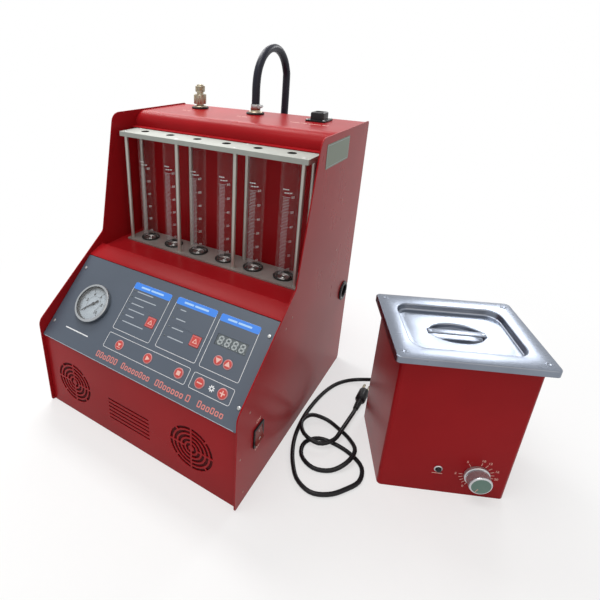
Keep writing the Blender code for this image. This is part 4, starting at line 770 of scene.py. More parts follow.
class TESTER_OT_stage(bpy.types.Operator):
    """Floor, world, studio lights and the photograph's camera"""

    bl_idname = "tester.stage"
    bl_label = "Stage"

    def execute(self, context):
        scene = context.scene
        scene.view_settings.view_transform = "Standard"
        self.camera(scene)
        self.floor(scene)
        scene.world = self.studio()
        for light in LIGHTS:
            self.light(scene, *light)
        return {"FINISHED"}

    def camera(self, scene):
        """Camera that sees the cabinet as the photograph does."""
        camera = bpy.data.objects.new("camera", bpy.data.cameras.new("camera"))
        scene.collection.objects.link(camera)
        flat = math.cos(CAMERA_PITCH)
        back = Vector((math.sin(CAMERA_YAW) * flat, -math.cos(CAMERA_YAW) * flat, math.sin(CAMERA_PITCH)))
        right = Vector((*polar(1, CAMERA_YAW), 0))
        level = placed(CAMERA_PLACE, right, back.cross(right))
        camera.matrix_world = level @ Matrix.Rotation(CAMERA_ROLL, 4, "Z")
        camera.data.sensor_width = 36
        camera.data.lens = CAMERA_LENS
        camera.data.shift_x, camera.data.shift_y = CAMERA_SHIFT
        camera.data.clip_start = 0.02
        scene.camera = camera

    def floor(self, scene):
        """White paper floor that shades softly under the object and shows white further out."""
        work = bmesh.new()
        bmesh.ops.create_grid(work, x_segments=1, y_segments=1, size=FLOOR_SIZE)
        floor = bpy.data.objects.new("floor", mesh_of(work))
        scene.collection.objects.link(floor)
        floor.location.z = -FLOOR_DROP
        made = Finish("floor_paper")
        away = made.node(
            "ShaderNodeVectorMath", {"operation": "DISTANCE"}, {0: made.place(), 1: FLOOR_CENTRE}, 1
        )
        grain = made.noise(60.0, 3.0, 0.6)
        made.set(
            Base_Color=made.blend(grain, (0.86, 0.86, 0.855), (0.89, 0.89, 0.885)), Roughness=0.75,
            Specular_IOR_Level=0.1,
        )
        share = (0.58 + away.ramp(0.30, 0.95) * 0.42) * made.seen()
        made.mixed(share, made.shader, made.node("ShaderNodeEmission"), "Material Output")
        floor.data.materials.append(made.material)

    def studio(self):
        """World that lights softly and shows white where the camera looks."""
        world = bpy.data.worlds.new("studio")
        world.use_nodes = True
        made = Nodes(world.node_tree)
        lighting = made.tree.nodes["Background"]
        made.feed(lighting.inputs["Color"], (0.93, 0.955, 1.0, 1))
        made.feed(lighting.inputs["Strength"], 0.36)
        white = made.node("ShaderNodeBackground", None, {"Color": (1, 1, 1, 1), "Strength": 1.0})
        made.mixed(made.seen(), lighting, white, "World Output")
        return world

    def light(self, scene, name, place, target, power, size, colour):
        """Flat light that looks at a target."""
        lamp = bpy.data.lights.new(name, "AREA")
        lamp.energy = power
        lamp.shape = "RECTANGLE"
        lamp.size, lamp.size_y = size
        lamp.color = colour
        light = bpy.data.objects.new(name, lamp)
        scene.collection.objects.link(light)
        light.location = place
        aim = Vector(target) - Vector(place)
        light.rotation_euler = aim.to_track_quat("-Z", "Y").to_euler()


class TESTER_OT_bath_lead(bpy.types.Operator):
    """Lead of the bath in loose loops on the bench, its strain relief and its plug"""

    bl_idname = "tester.bath_lead"
    bl_label = "Bath lead"

    def execute(self, context):
        start = GLAND @ Vector((0, 0, GLAND_REACH + GAP))
        straight = GLAND @ Vector((0, 0, GLAND_REACH + GAP + LEAD_STRAIGHT))
        end = PLUG @ Vector((0, 0, -GAP))
        route = [straight, *LEAD_ROUTE, end - Y_AXIS * LEAD_STRAIGHT / 2]
        points = [start, *smooth_route(route, LEAD_SPACING), end]
        lead = add_cord("bath_lead", points, LEAD_RADIUS, "bath", "lead_rubber", "bath_cord")

        relief = [
            (0, 25.3), (4.4, 25.3), (5.2, 24.6),
            *self.ribs(22.6, -2.4, 5.4, 0.28, ((0, 1.35), (0, 0), (-0.8, -0.25), (-0.7, -0.85))),
            (8.0, 3.3), (8.0, 0.3), (5.0, 0.3), (5.0, -5.2), (0, -5.2),
        ]
        add(
            "strain_relief", turned(relief, 32), GLAND, "bath", "black_plastic",
            ["cord_gland"],
        )

        grip = [
            (0, 0), (3.9, 0.0), *self.ribs(1.2, 2.9, 4.6, 0.16, ((0, 0), (0, 1.7), (-0.9, 2.0), (-0.9, 2.6))),
            (5.9, 25.4), (8.4, 27.0), (9.2, 29.0), (9.2, 53.5), (8.6, 55.4), (7.6, 56.0), (0, 56.0),
        ]
        pins = [
            (turned([(0, 51.0), (2.4, 51.0), (2.4, 72.6), (1.9, 73.8), (1.0, 74.0), (0, 74.0)], 24),
             moved(side * 4.75))
            for side in (-1, 1)
        ]
        body = add(
            "lead_plug", turned(grip, 40), PLUG, "bath", "lead_rubber", ["bath_plug"],
        )
        metal = add("plug_pins", pins, PLUG, "bath", "worn_nickel")
        route_length(points)
        return {"FINISHED"}

    def ribs(self, low, pitch, wide, flare, rib):
        """Eight ribs of a turned profile, each drawn by (outward, upward) steps from its own foot."""
        return [
            (wide + flare * number + out, low + pitch * number + up) for number in range(8) for out, up in rib
        ]


def add_washer(name, seat):
    """Rubber washer between a fitting and the top cover."""
    profile = [(7, 495.8), (16.0, 495.8), (16.8, 496.4), (16.8, 498.2), (16.0, 498.8), (7, 498.8)]
    add(name, turned(profile, 56, True), seat, "cabinet", "seal_rubber")


class TESTER_OT_return_hose(bpy.types.Operator):
    """Return hose with its clamp and fitting, and the coupler on its far end"""

    bl_idname = "tester.return_hose"
    bl_label = "Return hose"

    def execute(self, context):
        foot = on_cover(1).translation
        route = [(foot.x, foot.y, HOSE_START), (foot.x, foot.y, (HOSE_START + HOSE_LEVEL) / 2)]
        for step in range(HOSE_STEPS + 1):
            turn = math.pi * (1 - step / HOSE_STEPS)
            route.append((
                foot.x, foot.y + HOSE_BEND * (1 + math.cos(turn)), HOSE_LEVEL + HOSE_BEND * math.sin(turn)
            ))
        end = Vector((foot.x, foot.y + 2 * HOSE_BEND, HOSE_LEVEL - HOSE_DROP))
        route += [(end.x, end.y, HOSE_LEVEL - HOSE_DROP / 2), tuple(end)]
        points = smooth_route(route, HOSE_SPACING)
        hose = add_cord("hose", points, HOSE_RADIUS, "cabinet", "hose_rubber", "return_hose")

        seat = on_cover(1)
        add_washer("return_washer", seat)
        add(
            "return_seat",
            turned([
                (0, 481.5), (6.5, 481.5), (6.5, 498.8), (13.2, 498.8), (13.2, 499.8), (12.4, 501.0),
                (9.4, 501.2), (8.8, 503.0), (5.5, 503.2), (5.5, 505.2), (3.0, 505.2), (3.0, 493.2),
                (0, 493.2),
            ], 48),
            seat, "cabinet", "worn_nickel", ["return_fitting"],
        )
        ring = turned([
            (7.6, 503.4), (8.9, 503.4), (9.2, 503.8), (9.2, 506.2), (8.9, 506.6), (7.6, 506.6)
        ], 48, True)
        add("return_ring", ring, seat, "cabinet", "seal_brown")
        band = turned([
            (7.8, 506.7), (8.55, 506.7), (8.65, 507.0), (8.65, 513.4), (8.55, 513.7), (7.8, 513.7)
        ], 56, True)
        saddle = block((8.2, -3.5, 507.4), (13.2, 3.5, 513.0), 0.6)
        screw = turned([
            (0, -6.2), (2.2, -6.2), (2.2, 4.2), (3.2, 4.4), (3.4, 4.8), (3.4, 7.0), (3.0, 7.6), (0, 7.6)
        ], 24)
        across = placed(BAND_SCREW_PLACE, X_AXIS, Z_AXIS)
        add(
            "hose_band", [band, saddle, (screw, across)], seat, "cabinet", "zinc_screw",
            ["hose_clamp"],
        )
        hanging = placed(end)
        tail = turned([
            (0, -0.3), (8.6, -0.3), (9.2, -1.0), (9.2, -6.2), (10.5, -6.4), (10.5, -13.0), (9.8, -13.8),
            (9.8, -17.5), (10.5, -18.3), (10.5, -37.4), (9.9, -38.3), (6.0, -38.3), (6.0, -18.3), (0, -18.3),
        ], 48)
        nut = cut_out([toothed(6, (0, 12.0)), arc(0, 0, 9.0, 360, 10, 35)], -12.3, -6.4)
        coupler = add(
            "hose_tail", [tail, nut], hanging, "cabinet", "worn_nickel", ["hose_coupler"], 0.25,
        )
        route_length(points)
        return {"FINISHED"}


# Depth from the middle and height of each rivet on the right side plate
RIVET_PLACES = (
    (0.1128, 0.3804), (0.1116, 0.2894), (0.1198, 0.2254), (-0.0580, 0.2439), (-0.0778, 0.2353),
    (-0.1756, 0.1573), (-0.1979, 0.0919), (-0.1869, 0.0185),
)
LABEL_PLACE = (64 * MM, 469 * MM)
LABEL_TOP = 0.42
# Depth behind the front of the dark sheets of painted shade behind the vents.
SHADE_SHEET_DEPTH = 8.6 * MM
GRILLE_PLACES = (-133, 119)


class TESTER_OT_sheet_metal(bpy.types.Operator):
    """Powder-coated sheets of the cabinet, with rivets, a bare label plate and dark sheets of painted shade
    behind the vents
    """

    bl_idname = "tester.sheet_metal"
    bl_label = "Sheet metal"

    def execute(self, context):
        edge = context.scene.tester_sizes.edge
        dress("red_powder_coat", "side_panel_left", "side_panel_right", bevel=edge)
        dress(
            "red_powder_coat", "front_panel", "tube_shelf", "top_cover", "rear_panel", "base_panel",
            bevel=edge * 0.6,
        )
        rivets = [
            (turned([(0, 0.75), (0.7, 0.70), (1.4, 0.45), (1.8, 0.0), (1.8, -0.1), (0, -0.1)], 24),
             on_side(y, z))
            for y, z in RIVET_PLACES
        ]
        add("side_rivets", rivets, Matrix(), "cabinet", "painted_rivet")
        # Dark red sheets behind the round vents and the slot vent: painted shade seen through the holes.
        shade_sheets = [cut_out([arc(across, 67, 41, 0, 352, 44)], -0.4, 0) for across in GRILLE_PLACES]
        shade_sheets.append(cut_out([rounded_box(92, 46, 2.0, -7, 55)], -0.4, 0))
        behind = placed((0, FRONT + SHADE_SHEET_DEPTH, 0), X_AXIS, Z_AXIS)
        add("vent_shade_sheet", shade_sheets, behind, "cabinet", "vent_shade_sheet")
        seat = on_side(*LABEL_PLACE)
        plate = cut_out([rounded_box(95, 36, 1.5)], 0.02, LABEL_TOP)
        add("label_plate", plate, seat, "cabinet", "label_film", (), 0.1)
        border = printed(rounded_box(91, 32, 1.0), rounded_box(90, 31, 0.7), level=LABEL_TOP, thick=0.08)
        add("label_border", border, seat, "cabinet", "pale_ink")
        return {"FINISHED"}


# Print of the tubes: radius and foot in millimetres, middle of marks and of numbers in degrees
SCALE_SKIN = 14.56
SCALE_FLOOR = 257.5
MARKS_TURN = -83
NUMBERS_TURN = -40
PRINT_THICKNESS = 0.06


class TESTER_OT_tube_bay(bpy.types.Operator):
    """Measuring tubes with their graduations, seals and drain cups, between rails and rods; black disc and
    sleeve paint shade into the holes
    """

    bl_idname = "tester.tube_bay"
    bl_label = "Tube bay"

    def execute(self, context):
        millilitre = context.scene.tester_sizes.graduation
        row = FRONT + TUBE_DEPTH
        dress("anodised_aluminium", "top_rail", bevel=0.5)
        dress("grey_sheet", "bottom_rail", bevel=0.3)
        rods = [f"{side}_rod_{number}" for side in ("front", "rear") for number in range(1, 5)]
        dress("drawn_rod", *rods)
        for number, x in enumerate(TUBE_PLACES, 1):
            seat = placed((x, row, 0))
            glass = turned([
                (14.0, 258.0), (14.5, 258.6), (14.5, 458.4), (14.2, 459.0), (13.5, 459.1), (12.8, 459.0),
                (12.5, 458.4), (12.5, 258.6), (13.0, 258.0),
            ], 72, True)
            add(
                f"tube_glass_{number}", glass, seat, "cabinet", "tube_glass",
                [f"measuring_tube_{number}"],
            )
            add(f"tube_scale_{number}", self.scale(millilitre), seat, "cabinet", "white_ink")
            seal = turned([
                (16.1 + across, 262.5 + up)
                for across, up in (polar(1.5, math.tau * i / 12) for i in range(12))
            ], 56, True)
            inner = turned([
                (11.0, 258.1), (12.4, 258.1), (12.4, 261.4), (12.0, 261.8), (11.4, 261.6), (11.0, 261.0)
            ], 56, True)
            # Black disc under the drain cup's middle hole: painted shade at the bottom of the hole.
            floor = turned([(0, 258.1), (2.2, 258.1), (2.2, 258.4), (0, 258.4)], 24)
            # Black sleeve in the top rail's hole over the tube: painted shade inside the hole.
            hole = turned([
                (6.4, 459.7), (7.35, 459.7), (7.35, 467.3), (7.1, 467.6), (6.6, 467.6), (6.4, 467.3)
            ], 48, True)
            add(
                f"tube_seal_and_shade_{number}", [seal, inner, floor, hole], seat, "cabinet", "seal_rubber",
            )
            cup = turned([
                (10.9, 258.1), (10.9, 261.2), (10.5, 261.7), (9.9, 261.5), (9.2, 260.3), (7.4, 259.9),
                (6.9, 260.5), (6.3, 260.5), (5.9, 259.9), (4.9, 260.0), (4.5, 261.2), (3.9, 261.8),
                (3.0, 261.8), (2.4, 261.3), (2.25, 260.0), (2.25, 258.1),
            ], 56, True)
            add(f"drain_cup_{number}", cup, seat, "cabinet", "drain_steel")
        screws = [
            (turned([
                (0, 466.2), (1.5, 466.2), (1.5, 467.5), (1.8, 467.75), (3.0, 467.7), (3.4, 467.5),
                (3.4, 467.3), (0, 467.3),
            ], 24), moved(x, y))
            for x in (-174, -58, 58, 174) for y in (-19, 19)
        ]
        add("rail_screws", screws, placed((0, row, 0)), "cabinet", "zinc_screw")
        return {"FINISHED"}

    def scale(self, millilitre):
        """Printed graduations: fine marks, longer ones at 5 and 10, plain numbers and two broken rules."""
        strips = []
        for count in range(6, 61):
            reach = 26 if count % 10 == 0 else 23 if count % 5 == 0 else 19
            strips.append((MARKS_TURN, reach, count * millilitre, 0.36))
        for rise, reach, middle in ((6.8, 24, -70), (12.2, 20, -86)):
            for dash in (-0.75, -0.05, 0.65):
                strips.append((middle + reach * dash, reach * 0.28, 60 * millilitre + rise, 1.5))
        marks = [
            turned_strip(SCALE_SKIN, turn - reach, turn + reach, SCALE_FLOOR + rise, height)
            for turn, reach, rise, height in strips
        ]
        for count in range(10, 61, 10):
            number = digits(str(count), 5.6)
            wrap(number, SCALE_SKIN, NUMBERS_TURN, SCALE_FLOOR + count * millilitre)
            marks.append(number)
        return marks


def turned_strip(radius, start, end, level, height, steps=5):
    """Thin printed strip round a tube, between two angles in degrees, at a level in millimetres."""
    work = bmesh.new()
    rings = []
    for step in range(steps + 1):
        turn = math.radians(start + (end - start) * step / steps)
        rings.append([
            work.verts.new((*polar(r * MM, turn), z * MM))
            for r, z in (
                (radius, level - height / 2), (radius + PRINT_THICKNESS, level - height / 2),
                (radius + PRINT_THICKNESS, level + height / 2), (radius, level + height / 2),
            )
        ])
    for a, b in zip(rings, rings[1:]):
        for i in range(4):
            work.faces.new((a[i - 1], a[i], b[i], b[i - 1]))
    work.faces.new(rings[0])
    work.faces.new(rings[-1])
    return mesh_of(work)


def wrap(mesh, radius, middle, level):
    """Lays a flat print round a tube, its middle at an angle in degrees."""
    for vertex in mesh.vertices:
        x, y, z = vertex.co
        turn = math.radians(middle) + x / (radius * MM)
        reach = radius * MM + max(0.0, z) * 0.8
        vertex.co = (*polar(reach, turn), y + level * MM)


# Plain bars for the small prints in front of the fittings, as (middle, width) in mm from each fitting
COVER_PRINT_DEPTH = 331 * MM
COVER_PRINT_HEIGHT = 2.8
COVER_WORDS = (
    ((-5.5, 9.0), (4.5, 8.0)), ((-9.0, 9.0), (2.5, 11.0)),
    ((-25.0, 18.0), (-8.5, 11.0), (10.5, 22.0), (29.0, 11.0)),
)
SOCKET_BOX = (24, 27)


class TESTER_OT_top_fittings(bpy.types.Operator):
    """Outlet quick coupler with its knurled sleeve, the signal socket and the prints before the fittings"""

    bl_idname = "tester.top_fittings"
    bl_label = "Top fittings"

    def execute(self, context):
        seat = on_cover(0)
        add_washer("outlet_washer", seat)
        body = turned([
            (0, 481.5), (6.5, 481.5), (6.5, 498.8), (13.0, 498.8), (13.0, 500.0), (12.2, 501.0),
            (8.2, 501.2), (7.3, 502.0), (7.3, 522.7), (6.6, 522.95), (6.6, 528.5),
            (6.2, 529.0), (6.2, 530.2), (6.6, 530.7), (6.6, 540.3), (6.0, 541.0), (4.5, 541.0), (4.0, 540.4),
            (4.0, 505.0), (0, 505.0),
        ], 56)
        hexagon = self.chamfered_hex(13.6, 504.6, 522.9)
        collar = turned([
            (7.2, 512.2), (12.35, 512.2), (12.35, 512.9), (11.9, 513.1), (11.9, 514.3), (12.35, 514.5),
            (12.35, 515.2), (7.2, 515.2),
        ], 56, True)
        add(
            "outlet_body", [body, hexagon, collar], seat, "cabinet", "worn_nickel",
            ["outlet_coupler"],
        )
        ridges = toothed(44, (0.0, 9.5), (0.35, 9.5), (0.5, 9.15), (0.85, 9.15))
        knurl = cut_out([ridges, arc(0, 0, 7.0, 360, 7.5, 47)], 529.4, 536.6)
        ends = turned([
            (6.9, 527.3), (8.8, 527.3), (9.2, 527.8), (9.2, 529.0), (8.4, 529.6), (8.4, 536.4),
            (9.3, 537.0), (9.3, 538.3), (8.8, 538.8), (6.9, 538.8),
        ], 56, True)
        add(
            "sleeve", [knurl, ends], seat, "sleeve", "worn_nickel", ["outlet_sleeve"],
        )

        seat = on_cover(2, FITTING_BASE)
        plate = cut_out([rounded_box(36, 40, 3)], 0.0, 2.5)
        socket = add(
            "signal_block", [plate, self.socket_tower(context)], seat, "cabinet", "black_plastic",
            ["signal_socket"], 0.3,
        )
        socket.data.shade_smooth()
        socket.data.set_sharp_from_angle(angle=SOFT_ANGLE)
        pins = [
            (turned([(0, 6.0), (0.9, 6.0), (0.9, 12.2), (0.5, 12.8), (0, 12.9)], 16),
             moved(*polar(4.2, math.tau * i / 6)))
            for i in range(6)
        ]
        add("signal_pins", pins, seat, "cabinet", "worn_nickel")
        heads = [(pan_head(2.3), moved(x, y, 2.5)) for x in (-15, 15) for y in (-17, 17)]
        add("signal_screws", heads, seat, "cabinet", "zinc_screw")

        words = [
            (printed(rounded_box(width, COVER_PRINT_HEIGHT, 0.6), thick=0.06), moved(across / MM + middle))
            for across, line in zip(FITTING_PLACES, COVER_WORDS) for middle, width in line
        ]
        row = placed((0, FRONT + COVER_PRINT_DEPTH, FITTING_BASE - GAP))
        add("cover_print", words, row, "cabinet", "cream_ink")
        return {"FINISHED"}

    def socket_tower(self, context):
        """Block of the signal socket, narrower towards its top, with a round well."""
        wide, deep = SOCKET_BOX
        rings = []
        for grow, level in ((0, 2.0), (0, 12.8), (-0.5, 14.0), (-1.3, 14.8), (-2.6, 15.0)):
            share_x, share_y = 1 + grow / (wide / 2), 1 + grow / (deep / 2)
            rings.append([
                (x * MM * share_x, y * MM * share_y, level * MM) for x, y in rounded_box(wide, deep, 4)
            ])
        hood = bpy.data.objects.new("hood", loft(rings))
        well = bpy.data.objects.new("well", turned([(0, 6.0), (7.0, 6.0), (7.0, 18.0), (0, 18.0)], 48))
        for part in (hood, well):
            context.scene.collection.objects.link(part)
        cut = hood.modifiers.new("well", "BOOLEAN")
        cut.object = well
        cut.solver = "EXACT"
        seen = hood.evaluated_get(context.evaluated_depsgraph_get())
        tower = bpy.data.meshes.new_from_object(seen)
        for part in (hood, well):
            bpy.data.objects.remove(part)
        return tower

    def chamfered_hex(self, corner, low, high):
        """Hexagon nut whose corners are turned off at both ends; corner is its radius there."""
        flat = corner * math.cos(math.pi / 6)
        count = 96
        rings = []
        for level, cap in (
            (low, flat * 1.01), (low + 1.2, corner * 1.01), (high - 1.2, corner * 1.01), (high, flat * 1.01),
        ):
            ring = []
            for i in range(count):
                turn = math.tau * i / count
                side = (turn + math.pi / 6) % (math.pi / 3) - math.pi / 6
                reach = min(flat / math.cos(side), cap)
                ring.append((*polar(reach * MM, turn + math.pi / 6), level * MM))
            rings.append(ring)
        return loft(rings)


def pan_head(radius, height=1.3):
    """Round screw head with a cross recess, its seat at zero."""
    shares = (
        (0, 0.35), (0.16, 0.4), (0.30, 0.98), (0.55, 1), (0.85, 0.8), (1, 0.3), (1, 0), (0, 0),
    )
    head = turned([(radius * out, height * up) for out, up in shares], 28)
    long, wide = radius * 0.46, radius * 0.09
    bars = [
        (block((-long, -wide, height * 0.5), (long, wide, height * 0.96)), Matrix.Rotation(turn, 4, "Z"))
        for turn in (0.3, 0.3 + math.pi / 2)
    ]
    return gathered(head, *bars)


# Framed fields of the plate: left, right, low and high edge, and whether a blue heading tops it
PLATE_FIELDS = (
    (-68.5, 9.6, 57.6, 141.5, True), (21.6, 97.8, 58.4, 143.0, True), (105.0, 172.8, 58.2, 142.2, True),
    (-68.5, 96.5, 25.5, 50.7, False), (103.5, 172.8, 25.8, 49.4, False),
)
HEADING_DEPTH = 11.4
# Bars that stand for rows of words: left edge, then (height on the plate, length) of each
PLATE_ROWS = (
    (-63.0, (126.5, 34), (116.0, 46), (105.5, 26), (95.0, 34), (84.5, 18), (74.0, 44)),
    (29.0, (124.5, 11), (109.0, 18), (94.0, 22), (79.0, 30)),
)
# Plain blocks of the title line: left edge, pitch and height of each block
TITLE_BLOCKS = (
    (-73.0, 7.7, (9.4, 9.4, 6.6, 9.4, 9.4, 9.4)),
    (-18.0, 7.3, (9.4, 6.8, 6.8, 6.8, 6.8, 8.6, 6.8, 6.8)),
    (50.4, 7.6, (9.4, 9.4, 6.8, 6.8, 6.8, 6.8, 6.8)),
    (107.0, 8.6, (9.4,)),
    (127.4, 7.4, (9.4, 6.8, 6.8, 8.6, 6.8, 6.8)),
)
TITLE_FOOT = 7.6
GEAR_PLACE = (139.0, 37.6)
PLATE_SCREWS = ((-188, 134), (-190, 29), (188.5, 134), (187.6, 30))


class TESTER_OT_control_plate(bpy.types.Operator):
    """Printed control plate: framed fields with blue headings, plain rules, and four screws"""

    bl_idname = "tester.control_plate"
    bl_label = "Control plate"

    def execute(self, context):
        dress("slate_print", "control_plate", bevel=0.25)
        frames, headings, rules = self.fields()
        rows, lamps = self.rows()
        frames.append(printed(rounded_box(54, 1.9, 0.6, -132, 28)))
        rows.append(printed(rounded_box(384, 0.7, 0.3, 0, 0.8), thick=0.04))
        frames.append(self.gear())
        for name, parts, look, slot in (
            ("plate_white_print", frames, "white_ink", "white_dial"),
            ("plate_blue_print", headings, "blue_ink", "slate_plate"),
            ("plate_heading_print", rules, "sky_ink", "white_dial"),
            ("plate_row_print", rows, "pale_ink", "white_dial"),
            ("plate_title_blocks", self.title(), "title_ink", "key_red"),
            ("plate_row_lamps", lamps, "smoked_window", "display_smoke"),
        ):
            add(name, parts, PANEL, "cabinet", look)
        heads = [(pan_head(3.0, 1.6), moved(across, up)) for across, up in PLATE_SCREWS]
        add("plate_screws", heads, PANEL, "cabinet", "zinc_screw")
        return {"FINISHED"}

    def fields(self):
        """Frames of the fields, blue bars of the headings and the plain rules on those."""
        frames, headings, rules = [], [], []
        for left, right, low, high, headed in PLATE_FIELDS:
            width, height = right - left, high - low
            middle, level = (left + right) / 2, (low + high) / 2
            frames.append(printed(
                rounded_box(width, height, 3.0, middle, level),
                rounded_box(width - 1.4, height - 1.4, 2.3, middle, level),
            ))
            if headed:
                level = high - 5.8
                bar = rounded_box(width - 0.2, HEADING_DEPTH, 2.6, middle, level)
                headings.append(printed(bar, level=0.05, thick=0.11))
                for shift, share in ((-0.19, 0.24), (0.13, 0.34)):
                    rule = rounded_box(width * share, 3.0, 0.9, middle + width * shift, level)
                    rules.append(printed(rule, level=0.17, thick=0.07))
        return frames, headings, rules

    def rows(self):
        """Bars of the rows, and the small lamp at the head of each."""
        bars, lamps = [], []
        for left, *lines in PLATE_ROWS:
            for level, length in lines:
                bars.append(printed(rounded_box(length, 1.5, 0.5, left + 6 + length / 2, level)))
                lamp = turned([(0, 0.9), (0.8, 0.75), (1.4, 0.3), (1.5, 0.0), (0, 0)], 20)
                lamps.append((lamp, moved(left, level)))
        return bars, lamps

    def title(self):
        """Hollow blocks of the title line."""
        blocks = []
        for left, pitch, heights in TITLE_BLOCKS:
            for place, height in enumerate(heights):
                middle, level = left + pitch * (place + 0.5), TITLE_FOOT + height / 2
                outer = rounded_box(pitch - 1.7, height, 1.5, middle, level)
                inner = rounded_box(pitch - 4.7, height - 3.0, 0.6, middle, level)
                blocks.append(printed(outer, inner))
        return blocks

    def gear(self):
        """Gear sign with a round hole."""
        across, up = GEAR_PLACE
        teeth = toothed(8, (0.0, 3.3), (0.28, 3.3), (0.36, 4.9), (0.72, 4.9), (0.80, 3.3))
        return printed([(across + x, up + y) for x, y in teeth], arc(across, up, 1.7, 360, 15, 23))


GAUGE_PLACE = (-128, 80)
DIAL_FACE = 1.42
SWEEP_START = 225
SWEEP = 270


class TESTER_OT_gauge(bpy.types.Operator):
    """Pressure gauge: steel case, printed dial, needle and lens"""

    bl_idname = "tester.gauge"
    bl_label = "Pressure gauge"

    def execute(self, context):
        seat = on_panel(*GAUGE_PLACE)
        case = turned([
            (29.6, 8.5), (32.0, 8.5), (33.0, 8.25), (33.7, 7.5), (34.0, 6.4), (34.0, 1.4), (33.6, 0.6),
            (33.2, 0.3), (31.5, 0.3), (31.5, -23.0), (30.5, -24.0), (7.0, -24.0), (7.0, -38.0), (1.3, -38.0),
            (1.3, 0.3), (4.0, 0.3), (4.0, -20.0), (28.0, -20.0), (28.0, 0.3), (30.9, 0.3), (30.9, 7.2),
            (29.9, 7.5), (29.5, 8.1),
        ], 96, True)
        add("gauge_shell", case, seat, "cabinet", "bright_bezel", ["gauge_case"])
        # Dark ring inside the bezel round the dial's edge: painted shadow of the bezel's wall on the dial.
        shade_ring = turned([(27.9, DIAL_FACE), (30.6, DIAL_FACE), (30.6, 5.5), (29.5, 5.5)], 96, True)
        add("gauge_shade_ring", shade_ring, seat, "cabinet", "seal_rubber")
        dress("dial_card", "gauge_dial")
        dress("window_glass", "gauge_lens")
        add("dial_print", self.dial(), seat, "cabinet", "black_ink")
        pointer = cut_out([[
            (-10.5, -2.1), (-4.0, -1.3), (2.6, -1.5), (21.0, -0.6), (24.0, 0.0), (21.0, 0.6), (2.6, 1.5),
            (-4.0, 1.3), (-10.5, 2.1), (-11.2, 0.0),
        ]], 2.6, 3.3)
        hub = turned([
            (0, 3.8), (1.6, 3.75), (2.6, 3.4), (3.0, 2.8), (3.0, 1.8), (1.0, 1.7), (1.0, -9.0), (0, -9.0)
        ], 32)
        add(
            "pointer", [pointer, hub], seat @ moved(turn=SWEEP_START), "needle", "black_plastic",
            ["gauge_needle"], 0.08,
        )
        return {"FINISHED"}

    def dial(self):
        """Marks, plain numbers and two rings of the dial."""
        marks = []
        for step in range(51):
            turn = SWEEP_START - SWEEP * step / 50
            reach, width = (5.2, 1.1) if step % 10 == 0 else (3.8, 0.7) if step % 5 == 0 else (2.6, 0.42)
            marks.append((self.ink(tick(26.9 - reach, 26.9, width)), moved(turn=turn)))
            if step % 10 == 0:
                number = digits(str(step // 5), 7.4, 0.08, 0.32)
                marks.append((number, moved(*polar(17.2, math.radians(turn)), 1.46)))
        end = SWEEP_START - SWEEP
        for outer, inner, steps in ((27.2, 26.5, 72), (14.2, 13.9, 60)):
            ring = arc(0, 0, outer, SWEEP_START, end, steps) + arc(0, 0, inner, end, SWEEP_START, steps)
            marks.append(self.ink(ring))
        for step in range(28):
            marks.append((self.ink(tick(12.4, 14.0, 0.3)), moved(turn=SWEEP_START - 10 * step)))
        return marks

    def ink(self, outline):
        """Black print on the face of the dial."""
        return printed(outline, level=DIAL_FACE, thick=0.08)


# Keys: place on the panel, radius or 0 where it is square, and the sign it carries
KEY_MARKS = {
    "key_drain": (-39.0, 37.4, 8.0, "down_bar"),
    "key_start": (20.4, 37.4, 8.0, "play"),
    "key_stop": (80.6, 37.4, 8.0, "stop"),
    "key_pressure_down": (118.3, 37.4, 8.0, "minus"),
    "key_pressure_up": (157.3, 37.4, 8.0, "plus"),
    "key_value_down": (130.3, 76.0, 7.3, "down"),
    "key_value_up": (147.1, 76.0, 7.3, "up"),
    "key_program": (-5.0, 88.0, 0, "outline_up"),
    "key_parameter": (83.3, 88.0, 0, "outline_up"),
}
MARK_OUTLINES = {
    "down": [[(0, -4.4), (4.6, 3.2), (-4.6, 3.2)]],
    "up": [[(0, 4.6), (4.6, -3.0), (-4.6, -3.0)]],
    "down_bar": [
        [(0, -2.0), (3.6, 2.8), (-3.6, 2.8)], [(-3.6, -3.8), (3.6, -3.8), (3.6, -2.8), (-3.6, -2.8)],
    ],
    "play": [[(4.4, 0), (-2.8, 3.8), (-2.8, -3.8)]],
    "stop": [[(-3.2, -3.2), (3.2, -3.2), (3.2, 3.2), (-3.2, 3.2)]],
    "minus": [[(-4.4, -0.9), (4.4, -0.9), (4.4, 0.9), (-4.4, 0.9)]],
    "plus": [[
        (-4.2, -0.9), (-0.9, -0.9), (-0.9, -4.2), (0.9, -4.2), (0.9, -0.9), (4.2, -0.9), (4.2, 0.9),
        (0.9, 0.9), (0.9, 4.2), (-0.9, 4.2), (-0.9, 0.9), (-4.2, 0.9),
    ]],
    "outline_up": [
        [(0, 4.2), (4.6, -3.4), (-4.6, -3.4)], [(0, 1.9), (2.6, -2.3), (-2.6, -2.3)],
    ],
}
SQUARE_KEY = 16.8


